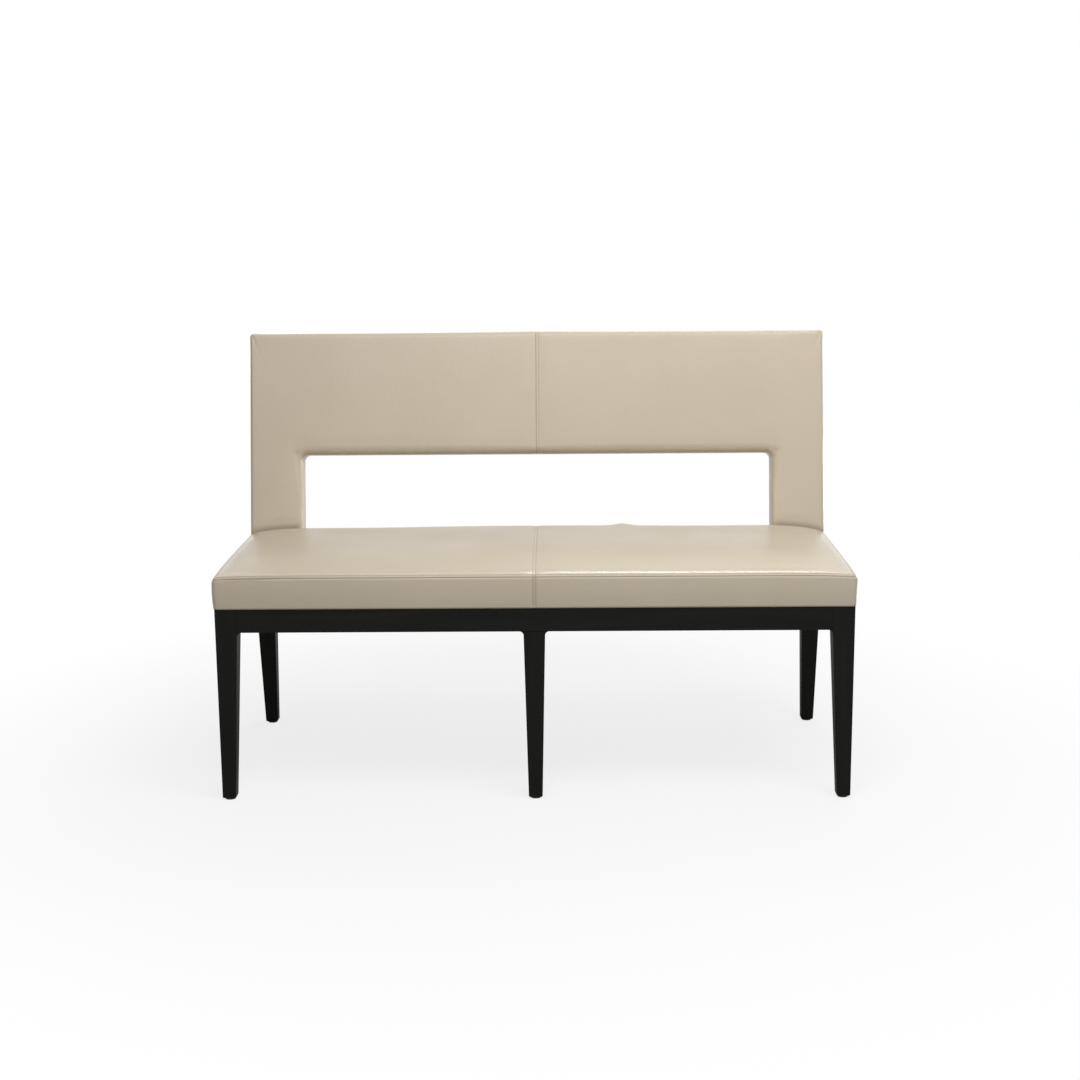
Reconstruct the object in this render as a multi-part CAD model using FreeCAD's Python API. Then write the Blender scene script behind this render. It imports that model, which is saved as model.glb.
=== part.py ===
import FreeCAD
import Part
import math
import os

# A free-standing banquette: a leather seat and a leather back with a wide window in it, on a black-stained
# timber frame with three front legs and two rear legs that run up inside the back as its stiles.
# Millimetres and degrees. X runs along the seat, Z is up and the front faces -Y. While it is drawn, y is
# measured backwards from the front of the seat; the finished pieces are moved so that y = 0 is mid depth.

V = FreeCAD.Vector

# Overall shape
overall_width = 1350.0
overall_height = 953.0
seat_depth = 472.0  # front of the seat to the back's crown, at the height of the seat's edge
seat_edge_height = 486.0
seat_side_height = 66.0  # apron to the seat's front edge
apron_height = 51.0
timber_inset = 4.0  # how far the timber stands inside the upholstery
back_rake = 10.0
upright_width = 122.5  # width of the back beside the window
window_height = 186.5  # top of the window above the seat's edge
sill_drop = 16.0  # sill of the window below the seat's edge, hidden behind the seat

# Timber seat frame
leg_top = 46.0
leg_foot = 29.0
centre_leg_top = 45.5
centre_leg_foot = 29.5
rear_leg_kick = 80.0  # how far the rear foot's front face stands behind its top's front face
foot_chamfer = 2.0
edge_round = 1.5
rail_thickness = 25.0
lap_depth = 12.5  # how deep the centre leg is let into the front rail
tenon_length = 25.0
tenon_thickness = 10.0
tenon_shoulder = 8.0
cross_rail_width = 22.0
cross_rail_depth = 40.0
cross_tenon_length = 12.0
block_run = 70.0  # length of a corner block along each rail, past the leg
joint_clearance = 0.2
mortise_end_gap = 1.0

# Foot glides
glide_radius = 11.0
glide_height = 4.0
glide_pin_radius = 1.5
glide_pin_length = 16.0

# Seat upholstery
leather = 1.4
fit = 0.3
seat_board_thickness = 15.0
seat_edge_crown = 3.0  # rise of the front edge from the ends to the middle
seat_crown = 19.0  # rise of the seat's top above its front edge
seat_crown_power = 6.7  # how late the crown falls away towards the ends
seat_end_swell = 0.06  # share of the crown left at the very ends
seat_roll = 250.0  # distance over which the top rises behind the front edge
seat_roll_share = 0.5  # share of that distance drawn as the front roll
seat_crest_share = 0.62  # where the crown peaks, as a share of the seat's depth
seat_rear_share = 0.9  # share of the crown left at the rear edge
seat_edge_turn = 70.0  # how far the front edge's round turns before the roll takes over
seat_edge_round = 9.0
seat_rear_round = 12.0
border_tuck = 1.5  # how far the border draws in at its lower edge
border_belly = 0.55  # height of the border's fullest point, as a share of its height
border_seam_drop = 10.0  # seam between top and border, below the edge
seam_depth = 2.5
seam_reach = 26.0
seam_belly = 0.35  # share of the seam's depth at the border's fullest point
flange_width = 20.0  # leather turned in under the board
seat_back_gap = 0.5
dust_cloth = 0.8

# Back upholstery and frame
back_foam = 24.0
facing_board = 6.0
stile_depth = 30.0
rear_board = 3.0
back_crown = 6.0
back_edge_round = 12.0
back_rear_round = 6.0
back_corner = 14.0
window_corner = 11.0
frame_edge_gap = 1.2
back_rail_height = 45.0
inner_stile_width = 45.0
dowel_radius = 5.0
dowel_length = 50.0
dowel_spacing = 20.0

# Screws: shank radius, length under the head, head radius, head height
block_screw = (2.5, 28.0, 4.5, 3.0)
seat_screw = (2.2, 26.0, 4.5, 3.0)
leg_screw = (2.2, 32.0, 4.0, 3.0)
board_screw = (1.8, 22.0, 3.6, 2.2)
pin_screw = (1.3, 16.0, 2.8, 1.4)
block_web = 14.0  # timber left under the heads in the corner blocks
seat_web = 15.0  # timber left under the heads of the seat's fixing screws
leg_web = 23.0  # timber left under the heads in the centre leg
screw_clearance = 0.1

# Values worked out from the driving dimensions
half_width = overall_width / 2
frame_half = half_width - timber_inset
frame_front = timber_inset
apron_top = seat_edge_height - seat_side_height
apron_bottom = apron_top - apron_height
window_top = seat_edge_height + window_height
window_sill = seat_edge_height - sill_drop
leg_inner = frame_half - leg_top
rail_inner_x = frame_half - rail_thickness
front_rail_back = frame_front + rail_thickness
front_leg_back = frame_front + leg_top
board_bottom = apron_top + leather
board_top = board_bottom + seat_board_thickness
bearer_bottom = apron_top - cross_rail_depth
cross_rail_offset = (leg_inner + centre_leg_top / 2) / 2  # middle of the bay beside the centre leg
sin_rake = math.sin(math.radians(back_rake))
cos_rake = math.cos(math.radians(back_rake))
tan_rake = math.tan(math.radians(back_rake))

foam_back = leather + fit + back_foam
stile_front = foam_back + facing_board
stile_rear = stile_front + stile_depth
back_thickness = stile_rear + rear_board + fit + leather
window_half = half_width - upright_width
window_corner_reach = window_half - window_corner


def up_the_face(height):
    """Distance up the raked face at a height above the floor, from the height of the seat's edge."""
    return (height - seat_edge_height) / cos_rake


def leaned_y(depth, height):
    """y of the plane that lies depth behind the back's crown, at a height above the floor."""
    return seat_depth + (height - seat_edge_height) * tan_rake + depth / cos_rake


back_rise = overall_height - seat_edge_height - back_edge_round
back_top = back_edge_round + (back_rise + (back_crown + back_edge_round) * sin_rake) / cos_rake
back_foot = up_the_face(apron_top) - back_rail_height
panel_low = up_the_face(window_top)
sill = up_the_face(window_sill)
crown_middle = (back_top + up_the_face(apron_top)) / 2
crown_half = back_top - crown_middle
rear_leg_back = leaned_y(stile_rear, apron_top)
rear_leg_front = rear_leg_back - leg_top
rear_rail_front = rear_leg_back - rail_thickness
seat_top_height = seat_edge_height + seat_edge_crown + seat_crown
face_at_seat = back_crown * ((up_the_face(seat_top_height) - crown_middle) / crown_half) ** 2
seat_rear_depth = face_at_seat - seat_back_gap
seat_rear_y = leaned_y(seat_rear_depth, apron_top)
rear_corner_y = (back_thickness - back_rear_round) * cos_rake + (back_top - back_rear_round) * sin_rake
overall_depth = seat_depth + rear_corner_y + back_rear_round


def block(x0, x1, y0, y1, z0, z1):
    """Box between two corners."""
    return Part.makeBox(x1 - x0, y1 - y0, z1 - z0, V(x0, y0, z0))


def edges_along(shape, axis):
    """The straight edges of a shape that run along an axis."""
    return [e for e in shape.Edges if abs(e.tangentAt(e.FirstParameter).dot(axis)) > 0.999]


def eased_bar(x0, x1, y0, y1, z0, z1, axis):
    """Box whose long edges, along axis, are eased."""
    bar = block(x0, x1, y0, y1, z0, z1)
    return bar.makeFillet(edge_round, edges_along(bar, axis))


def rounded_rectangle(x0, x1, y0, y1, z, radius):
    """Closed wire at height z: four lines joined by quarter arcs."""
    centres = ((x1 - radius, y1 - radius), (x0 + radius, y1 - radius))
    centres += ((x0 + radius, y0 + radius), (x1 - radius, y0 + radius))
    arcs = []
    for turn, (cx, cy) in enumerate(centres):
        arcs.append(Part.makeCircle(radius, V(cx, cy, z), V(0, 0, 1), 90 * turn, 90 * turn + 90))
    edges = []
    for arc, following in zip(arcs, arcs[1:] + arcs[:1]):
        edges.append(arc)
        edges.append(Part.makeLine(arc.Vertexes[-1].Point, following.Vertexes[0].Point))
    return Part.Wire(edges)


def mirrored(shape):
    """The same piece on the other side of x = 0."""
    return shape.mirror(V(0, 0, 0), V(1, 0, 0))


def cut_all(shape, tools):
    """A shape less each of a list of tools."""
    for tool in tools:
        shape = shape.cut(tool)
    return shape


# Screws and their bores


def screw(seat, direction, kind):
    """Screw whose head sits at seat and whose shank runs along direction."""
    radius, length, head_radius, head_height = kind
    shank = Part.makeCylinder(radius, length, seat, direction)
    head = Part.makeCylinder(head_radius, head_height, seat - direction * head_height, direction)
    return shank.fuse(head).removeSplitter()


def screw_bore(seat, direction, kind, counterbore):
    """Bore for a screw, with a counterbore of a given length behind the head's seat."""
    radius, length, head_radius, _ = kind
    shank = Part.makeCylinder(radius + screw_clearance, length + screw_clearance, seat, direction)
    room = head_radius + screw_clearance
    head = Part.makeCylinder(room, counterbore, seat - direction * counterbore, direction)
    return shank.fuse(head)


def corner_block_screw_seats(front):
    """Seat and direction of the two screws of a left corner block: into its cross rail and its side rail."""
    height = (bearer_bottom + board_bottom) / 2
    along = block_run / 2
    rail_face = front_rail_back if front else rear_rail_front
    leg_face = front_leg_back if front else rear_leg_front
    inward = 1 if front else -1
    into_rail = (V(along - leg_inner, rail_face + inward * block_web, height), V(0, -inward, 0))
    into_side = (V(block_web - rail_inner_x, leg_face + inward * along, height), V(-1, 0, 0))
    return [into_rail, into_side]


def front_block_fixing_point():
    """Place in plan of the seat's fixing screw in the front left corner block."""
    offset = block_run / 6
    return (offset - leg_inner, front_leg_back + offset)


def cross_rail_fixing_points(x):
    """Places in plan of the seat's fixing screws in a cross rail."""
    return [(x, seat_depth * share) for share in (0.35, 0.75)]


def fixing_screw_seat(point):
    """Seat and direction of a fixing screw that runs up into the seat board."""
    return (V(point[0], point[1], board_bottom - seat_web), V(0, 0, 1))


def centre_leg_screw_seats():
    """Seats and directions of the two screws through the centre leg's tongue into the front rail."""
    across = (cross_rail_width + centre_leg_top) / 4
    height = (bearer_bottom + apron_top) / 2
    seat_y = frame_front + lap_depth + leg_web
    return [(V(x, seat_y, height), V(0, -1, 0)) for x in (-across, across)]


# Legs


def glide_pin_bore(x, y):
    """Bore in a foot for its glide's pin."""
    room = glide_pin_radius + screw_clearance
    return Part.makeCylinder(room, glide_pin_length + screw_clearance, V(x, y, glide_height), V(0, 0, 1))


def glide(point):
    """Nylon glide under a foot, with its pin."""
    x, y = point
    disc = Part.makeCylinder(glide_radius, glide_height, V(x, y, 0), V(0, 0, 1))
    pin = Part.makeCylinder(glide_pin_radius, glide_pin_length, V(x, y, glide_height), V(0, 0, 1))
    return disc.fuse(pin).removeSplitter()


def leg_loft(foot, top):
    """Leg that tapers from its foot rectangle to its top rectangle, then runs straight up the apron."""
    x0, x1, y0, y1 = foot
    c = foot_chamfer
    sections = [rounded_rectangle(x0 + c, x1 - c, y0 + c, y1 - c, glide_height, edge_round)]
    sections.append(rounded_rectangle(*foot, glide_height + c, edge_round))
    sections.append(rounded_rectangle(*top, apron_bottom, edge_round))
    sections.append(rounded_rectangle(*top, apron_top, edge_round))
    return Part.makeLoft(sections, True, True)


def front_foot():
    """Foot rectangle of the front left leg: outer faces plumb, inner faces tapered."""
    return (-frame_half, leg_foot - frame_half, frame_front, frame_front + leg_foot)


def rear_foot():
    """Foot rectangle of the rear left leg, kicked backwards."""
    front = rear_leg_front + rear_leg_kick
    return (-frame_half, leg_foot - frame_half, front, front + leg_foot)


def centre_foot():
    """Foot rectangle of the centre leg, tapered on both sides."""
    half = centre_leg_foot / 2
    return (-half, half, frame_front, frame_front + centre_leg_foot)


def middle_of(foot):
    """Centre of a foot rectangle."""
    return ((foot[0] + foot[1]) / 2, (foot[2] + foot[3]) / 2)


def tenon(x0, x1, y0, y1, room=0.0):
    """Tenon or, with room, its mortise, between the rail's shoulders in height."""
    low = apron_bottom + tenon_shoulder
    high = apron_top - tenon_shoulder
    return block(x0 - room, x1 + room, y0 - room, y1 + room, low - room, high + room)


def rail_tenon(rail_front, room=0.0):
    """Left tenon of the front or rear rail, whose front face is given."""
    y0 = rail_front + (rail_thickness - tenon_thickness) / 2
    end = tenon_length + (mortise_end_gap if room else 0.0)
    return tenon(-leg_inner - end, -leg_inner, y0, y0 + tenon_thickness, room)


def side_tenon(shoulder, backwards, room=0.0):
    """Tenon of the left side rail, from its shoulder into the leg behind or in front of it."""
    x0 = -frame_half + (rail_thickness - tenon_thickness) / 2
    end = tenon_length + (mortise_end_gap if room else 0.0)
    y0, y1 = (shoulder, shoulder + end) if backwards else (shoulder - end, shoulder)
    return tenon(x0, x0 + tenon_thickness, y0, y1, room)


def front_leg_left():
    top = (-frame_half, -leg_inner, frame_front, front_leg_back)
    leg = leg_loft(front_foot(), top)
    mortises = [rail_tenon(frame_front, joint_clearance)]
    mortises.append(side_tenon(front_leg_back, False, joint_clearance))
    return cut_all(leg, mortises + [glide_pin_bore(*middle_of(front_foot()))])


def rear_leg_left():
    """Leg and back stile in one piece, bent at the apron."""
    top = (-frame_half, -leg_inner, rear_leg_front, rear_leg_back)
    leg = leg_loft(rear_foot(), top)
    mortises = [rail_tenon(rear_rail_front, joint_clearance)]
    mortises.append(side_tenon(rear_leg_front, True, joint_clearance))
    leg = cut_all(leg, mortises + [glide_pin_bore(*middle_of(rear_foot()))])
    stile = frame_member(-frame_half, -leg_inner, back_foot, back_top)
    return cut_all(leg.fuse(stile).removeSplitter(), back_bores())


def centre_leg_mortise():
    """Mortise in the back of the centre leg for the centre cross rail's tenon."""
    y1 = frame_front + centre_leg_top
    return cross_tenon(0.0, y1 - cross_tenon_length - mortise_end_gap, y1, joint_clearance)


def front_leg_centre():
    """Leg let into the back of the front rail by its tongue."""
    half = centre_leg_top / 2
    leg = leg_loft(centre_foot(), (-half, half, frame_front, frame_front + centre_leg_top))
    lap = block(-centre_leg_top, centre_leg_top, 0, frame_front + lap_depth, apron_bottom, apron_top)
    bores = [screw_bore(p, d, leg_screw, centre_leg_top) for p, d in centre_leg_screw_seats()]
    return cut_all(leg, [lap, centre_leg_mortise(), glide_pin_bore(*middle_of(centre_foot()))] + bores)


# Rails and corner blocks


def cross_tenon(x, y0, y1, room=0.0):
    """Tenon of a cross rail or, with room, its mortise."""
    half = tenon_thickness / 2 + room
    low = bearer_bottom + tenon_shoulder - room
    high = apron_top - tenon_shoulder + room
    return block(x - half, x + half, y0, y1, low, high)


def front_rail():
    rail = eased_bar(-leg_inner, leg_inner, frame_front, front_rail_back, apron_bottom, apron_top, V(1, 0, 0))
    rail = rail.fuse(rail_tenon(frame_front)).fuse(mirrored(rail_tenon(frame_front))).removeSplitter()
    half = centre_leg_top / 2 + joint_clearance
    lap_face = frame_front + lap_depth
    tools = [block(-half, half, lap_face, front_rail_back + 1, apron_bottom - 1, apron_top + 1)]
    for x in (-cross_rail_offset, cross_rail_offset):
        start = front_rail_back - cross_tenon_length - mortise_end_gap
        tools.append(cross_tenon(x, start, front_rail_back, joint_clearance))
    for seat, direction in corner_block_screw_seats(True)[:1]:
        bore = screw_bore(seat, direction, block_screw, block_web)
        tools += [bore, mirrored(bore)]
    tools += [screw_bore(p, d, leg_screw, centre_leg_top) for p, d in centre_leg_screw_seats()]
    return cut_all(rail, tools)


def rear_rail():
    rail = eased_bar(
        -leg_inner, leg_inner, rear_rail_front, rear_leg_back, apron_bottom, apron_top, V(1, 0, 0)
    )
    rail = rail.fuse(rail_tenon(rear_rail_front)).fuse(mirrored(rail_tenon(rear_rail_front))).removeSplitter()
    tools = []
    for x in (-cross_rail_offset, 0.0, cross_rail_offset):
        end = rear_rail_front + cross_tenon_length + mortise_end_gap
        tools.append(cross_tenon(x, rear_rail_front, end, joint_clearance))
    for seat, direction in corner_block_screw_seats(False)[:1]:
        bore = screw_bore(seat, direction, block_screw, block_web)
        tools += [bore, mirrored(bore)]
    return cut_all(rail, tools)


def side_rail_left():
    rail = eased_bar(
        -frame_half, -rail_inner_x, front_leg_back, rear_leg_front, apron_bottom, apron_top, V(0, 1, 0)
    )
    rail = rail.fuse(side_tenon(front_leg_back, False)).fuse(side_tenon(rear_leg_front, True))
    rail = rail.removeSplitter()
    seats = corner_block_screw_seats(True)[1:] + corner_block_screw_seats(False)[1:]
    return cut_all(rail, [screw_bore(p, d, block_screw, block_web) for p, d in seats])


def step_under_back():
    """Tool that lowers the bearers to the apron's top behind the seat, where they carry the back."""
    return block(-half_width, half_width, seat_rear_y, overall_depth, apron_top, board_bottom + 1)


def cross_rail(x):
    """Bearer under the seat board, from the front rail, or the centre leg, to the rear rail."""
    start = frame_front + centre_leg_top if x == 0 else front_rail_back
    half = cross_rail_width / 2
    rail = block(x - half, x + half, start, rear_rail_front, bearer_bottom, board_bottom)
    rail = rail.fuse(cross_tenon(x, start - cross_tenon_length, start))
    rail = rail.fuse(cross_tenon(x, rear_rail_front, rear_rail_front + cross_tenon_length)).removeSplitter()
    seats = [fixing_screw_seat(point) for point in cross_rail_fixing_points(x)]
    bores = [screw_bore(p, d, seat_screw, cross_rail_depth) for p, d in seats]
    return cut_all(rail, bores + [step_under_back()])


def corner_block(front):
    """Left corner block: a triangle that braces two rails, notched around the leg's inner corner."""
    rail_face = front_rail_back if front else rear_rail_front
    leg_face = front_leg_back if front else rear_leg_front
    inward = 1 if front else -1
    notch_x = fit - leg_inner
    notch_y = leg_face + inward * fit
    far_y = leg_face + inward * block_run
    far_x = -leg_inner + block_run
    outline = [V(notch_x, rail_face, 0), V(far_x, rail_face, 0), V(-rail_inner_x, far_y, 0)]
    outline += [V(-rail_inner_x, notch_y, 0), V(notch_x, notch_y, 0)]
    face = Part.Face(Part.makePolygon(outline + outline[:1]))
    face.translate(V(0, 0, bearer_bottom))
    body = face.extrude(V(0, 0, board_bottom - bearer_bottom))
    tools = [screw_bore(p, d, block_screw, block_run) for p, d in corner_block_screw_seats(front)]
    if front:
        seat, direction = fixing_screw_seat(front_block_fixing_point())
        tools.append(screw_bore(seat, direction, seat_screw, cross_rail_depth))
    return cut_all(body, tools + [step_under_back()])


# Seat upholstery


def seat_stations(inset):
    """Stations along the left half of the seat: x, and how far the rounded end draws the outline in."""
    radius = seat_edge_round - inset
    stations = []
    for angle in (90, 60, 30, 0):
        turn = math.radians(angle)
        x = seat_edge_round - half_width - radius * math.sin(turn)
        stations.append((x, radius * (1 - math.cos(turn))))
    for share in (0.95, 0.88, 0.8, 0.65, 0.42, 0.18):
        stations.append((-share * half_width, 0.0))
    for share in (1.0, 0.35, 0.0):
        stations.append((-share * seam_reach, 0.0))
    return stations


def seat_section(x, corner, inset, bottom):
    """Outline of the seat across its depth at x: border, edge, roll, crown, rear edge, rear face, bottom."""
    fullness = 1 - abs(x / half_width) ** seat_crown_power
    swell = seat_end_swell + (1 - seat_end_swell) * fullness
    seam = seam_depth * max(0.0, 1 - abs(x) / seam_reach) ** 2
    front = inset + corner
    edge = seat_edge_height + seat_edge_crown * swell - inset - corner - seam
    radius = seat_edge_round - inset
    low = edge - radius

    def rise(y):
        return edge + seat_crown * swell * (1 - max(0.0, 1 - y / seat_roll) ** 3)

    def rear(z):
        return leaned_y(seat_rear_depth, z) - inset / cos_rake

    shoulder = front + seam + border_tuck / 2
    turned = math.radians(seat_edge_turn)
    half_turned = turned / 2
    roll_end = seat_roll * seat_roll_share
    roll_half = roll_end / 2
    rear_eighth = seat_rear_round * (1 - math.sqrt(0.5))
    crest = seat_crown * swell + edge
    rear_high = edge + seat_crown * swell * seat_rear_share
    rear_low = rear_high - seat_rear_round
    toe = V(x, front + border_tuck, bottom)
    belly = V(x, front + seam * seam_belly, bottom + (low - bottom) * border_belly)
    hip = V(x, shoulder, low)
    nose = V(x, shoulder + radius * (1 - math.cos(half_turned)), low + radius * math.sin(half_turned))
    brow = V(x, shoulder + radius * (1 - math.cos(turned)), low + radius * math.sin(turned))
    roll_middle = V(x, roll_half, rise(roll_half))
    roll_top = V(x, roll_end, rise(roll_end))
    crown_top = V(x, seat_depth * seat_crest_share, crest)
    rear_edge = V(x, rear(rear_high) - seat_rear_round, rear_high)
    rear_bend = V(x, rear(rear_high) - rear_eighth, rear_high - rear_eighth)
    rear_face = V(x, rear(rear_low), rear_low)
    heel = V(x, rear(bottom), bottom)
    edges = [Part.Arc(toe, belly, hip).toShape()]
    edges.append(Part.Arc(hip, nose, brow).toShape())
    edges.append(Part.Arc(brow, roll_middle, roll_top).toShape())
    edges.append(Part.Arc(roll_top, crown_top, rear_edge).toShape())
    edges.append(Part.Arc(rear_edge, rear_bend, rear_face).toShape())
    edges.append(Part.makeLine(rear_face, heel))
    edges.append(Part.makeLine(heel, toe))
    return Part.Wire(edges)


def seat_half(inset, bottom):
    """Left half of the seat's form, a given distance inside the leather's outer face."""
    sections = [seat_section(x, corner, inset, bottom) for x, corner in seat_stations(inset)]
    return Part.makeLoft(sections, True, True)


def seat_cover_left():
    """Leather over the left half of the seat, turned in under the board at the front and side."""
    cover = seat_half(0.0, apron_top).cut(seat_half(leather, board_bottom))
    margin = border_tuck + flange_width
    opening = block(margin - half_width, 1, margin, overall_depth, apron_top - 1, board_bottom + 1)
    return cover.cut(opening)


def seat_cover_band(low, high):
    """Part of the left half of the seat's leather between two heights."""
    return seat_cover_left().common(block(-half_width - 1, 1, -1, overall_depth, low, high))


def seat_board():
    """Plywood base of the seat, with pilot holes for its fixing screws."""
    inset = leather + border_tuck + fit
    rear = leaned_y(seat_rear_depth - leather - fit, board_bottom)
    outline = rounded_rectangle(
        inset - half_width, half_width - inset, inset, rear, board_bottom, seat_edge_round
    )
    board = Part.Face(outline).extrude(V(0, 0, seat_board_thickness))
    bores = []
    for seat, direction in seat_screw_seats():
        bores.append(screw_bore(seat, direction, seat_screw, seat_web))
    return cut_all(board, bores)


def seat_foam():
    """Crowned foam on the seat board."""
    left = seat_half(leather + fit, board_bottom)
    left = left.cut(block(-half_width, 0, 0, overall_depth, apron_top, board_top))
    return left.fuse(mirrored(left)).removeSplitter()


def seat_screw_seats():
    """Seats and directions of all the screws that hold the seat board down."""
    points = []
    for x in (-cross_rail_offset, 0.0, cross_rail_offset):
        points += cross_rail_fixing_points(x)
    x, y = front_block_fixing_point()
    points += [(x, y), (-x, y)]
    return [fixing_screw_seat(point) for point in points]


def dust_cover():
    """Cloth fixed under the bearers and corner blocks, cut around the legs."""
    low = bearer_bottom - dust_cloth
    half = rail_inner_x - fit
    cloth = block(-half, half, front_rail_back + fit, rear_rail_front - fit, low, bearer_bottom)
    room = fit + edge_round
    far = overall_depth
    tools = []
    for y0, y1 in ((0.0, front_leg_back + room), (rear_leg_front - room, far)):
        corner = block(-half_width, room - leg_inner, y0, y1, apron_bottom, apron_top)
        tools += [corner, mirrored(corner)]
    leg_half = centre_leg_top / 2 + room
    leg_back = frame_front + centre_leg_top + room
    tools.append(block(-leg_half, leg_half, 0.0, leg_back, apron_bottom, apron_top))
    for seat, direction in seat_screw_seats():
        tools.append(screw_bore(seat, direction, seat_screw, cross_rail_depth))
    return cut_all(cloth, tools)


# Back: drawn upright, with y the depth behind the crown and z the height up the face, then leaned back


def lean(shape):
    """Leans an upright shape back by the rake, onto the seat frame, and trims it at the apron's top."""
    leaned = shape.copy()
    leaned.rotate(V(0, 0, 0), V(1, 0, 0), -back_rake)
    leaned.translate(V(0, seat_depth, seat_edge_height))
    above = block(-overall_width, overall_width, 0, 2 * overall_depth, apron_top, 2 * overall_height)
    return leaned.common(above)


def back_ring(inset, near, far):
    """Flat ring between two depths: the back's outline less its window, both drawn in by inset."""
    low = back_foot - inset
    outline = block(inset - half_width, half_width - inset, near, far, low, back_top - inset)
    top_edges = [e for e in edges_along(outline, V(0, 1, 0)) if e.BoundBox.ZMin > back_foot + 1]
    outline = outline.makeFillet(back_corner - inset, top_edges)
    reach = window_half + inset
    hole = block(-reach, reach, near - 1, far + 1, sill - inset, panel_low + inset)
    hole = hole.makeFillet(window_corner + inset, edges_along(hole, V(0, 1, 0)))
    return outline.cut(hole)


def padded_back(inset):
    """Upholstered form of the back: a crowned face, rolled edges in front and eased edges behind."""
    far = back_thickness - inset
    low = back_foot - inset
    start = V(-overall_width, back_crown + inset, up_the_face(apron_top))
    crest = V(-overall_width, inset, crown_middle)
    top = V(-overall_width, back_crown + inset, back_top)
    crown = Part.Arc(start, crest, top).toShape().Curve
    disc = Part.Face(Part.Wire(Part.makeCircle(crown.Radius, crown.Center, V(1, 0, 0))))
    body = back_ring(inset, -back_crown, far).common(disc.extrude(V(2 * overall_width, 0, 0)))
    front_edges = []
    for side in body.Faces:
        if isinstance(side.Surface, Part.Cylinder) and side.Surface.Radius > overall_width:
            front_edges += [e for e in side.Edges if e.BoundBox.ZMax > low + 1]
    body = body.makeFillet(back_edge_round - inset, front_edges)
    rear_edges = [e for e in body.Edges if e.BoundBox.YMin > far - 0.01 and e.BoundBox.ZMax > low + 1]
    return body.makeFillet(back_rear_round - inset, rear_edges)


def left_of(shape):
    """The part of a shape left of the centre seam."""
    tall = overall_height
    return shape.common(block(-overall_width, 0, -overall_depth, 2 * overall_depth, -tall, tall))


def back_cover_left():
    """Leather over the front, sides, top and window reveals of the back's left half."""
    shell = padded_back(0.0).cut(padded_back(leather))
    rear = back_ring(back_rear_round, back_thickness - leather - fit, back_thickness + 1)
    return lean(left_of(shell.cut(rear)))


def back_rear_panel_left():
    """Flat leather panel that closes the left half of the back from behind."""
    return lean(left_of(back_ring(back_rear_round, back_thickness - leather, back_thickness)))


def back_foam_piece(x0, x1, z0, z1):
    """Part of the crowned foam on the facing board, between two sides and two heights."""
    foam = padded_back(leather + fit)
    return lean(foam.common(block(x0, x1, -back_crown, foam_back, z0, z1)))


def frame_member(x0, x1, z0, z1):
    """Member of the back's timber frame, kept inside the leather."""
    ring = back_ring(leather + frame_edge_gap, stile_front, stile_rear)
    return lean(ring.common(block(x0, x1, stile_front, stile_rear, z0, z1)))


panel_rail_low = panel_low + leather + frame_edge_gap
sill_rail_high = sill - leather - frame_edge_gap
top_rail_high = back_top - leather - frame_edge_gap
inner_stile_edge = window_half + leather + frame_edge_gap
stile_middle = (stile_front + stile_rear) / 2
top_rail_middle = top_rail_high - back_rail_height / 2
panel_rail_middle = panel_rail_low + back_rail_height / 2
sill_rail_middle = sill_rail_high - dowel_spacing
panel_middle = (panel_low + back_top) / 2
inner_stile_middle = inner_stile_edge + inner_stile_width / 2
leg_middle = (frame_half + leg_inner) / 2


def upright_dowels(room=0.0):
    """Dowels of the back's frame, or with room their bores, before they are leaned back."""
    half = dowel_length / 2 + (mortise_end_gap if room else 0.0)
    radius = dowel_radius + room
    dowels = []
    for height in (top_rail_middle, panel_rail_middle, sill_rail_middle):
        for side in (-1, 1):
            for offset in (-dowel_spacing / 2, dowel_spacing / 2):
                start = V(side * leg_inner - half, stile_middle, height + offset)
                dowels.append(Part.makeCylinder(radius, 2 * half, start, V(1, 0, 0)))
    for height in (panel_rail_low, sill_rail_high):
        for side in (-1, 1):
            for offset in (-dowel_spacing / 2, dowel_spacing / 2):
                start = V(side * inner_stile_middle + offset, stile_middle, height - half)
                dowels.append(Part.makeCylinder(radius, 2 * half, start, V(0, 0, 1)))
    return dowels


def board_screw_points():
    """Places, across and up the face, of the screws that hold the facing and rear boards to the frame."""
    points = []
    for height in (top_rail_middle, panel_rail_middle):
        points += [(window_half * share, height) for share in (-0.85, -0.5, -0.17, 0.17, 0.5, 0.85)]
    for side in (-1, 1):
        points += [(side * leg_middle, panel_middle), (side * leg_middle, (sill + panel_low) / 2)]
        points.append((side * inner_stile_middle, (sill + panel_low) / 2))
    return points


def facing_screw_seats():
    """Seats and directions, before leaning, of the facing board's screws, whose heads lie flush."""
    depth = foam_back + board_screw[3]
    return [(V(x, depth, z), V(0, 1, 0)) for x, z in board_screw_points()]


def rear_screw_seats():
    """Seats and directions, before leaning, of the rear board's screws, a little lower than the facing's."""
    depth = stile_rear + rear_board - pin_screw[3]
    drop = dowel_radius * 2
    return [(V(x, depth, z - drop), V(0, -1, 0)) for x, z in board_screw_points()]


def back_bores():
    """All the dowel and screw bores in the back's frame."""
    bores = [lean(bore) for bore in upright_dowels(joint_clearance)]
    bores += [lean(screw_bore(p, d, board_screw, facing_board)) for p, d in facing_screw_seats()]
    bores += [lean(screw_bore(p, d, pin_screw, rear_board)) for p, d in rear_screw_seats()]
    return bores


def back_rail(z0, z1):
    """Rail of the back's frame between the two stiles."""
    return cut_all(frame_member(-leg_inner, leg_inner, z0, z1), back_bores())


def back_inner_stile_left():
    """Upright beside the window."""
    outer = inner_stile_edge + inner_stile_width
    member = frame_member(-outer, -inner_stile_edge, sill_rail_high, panel_rail_low)
    return cut_all(member, back_bores())


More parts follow.
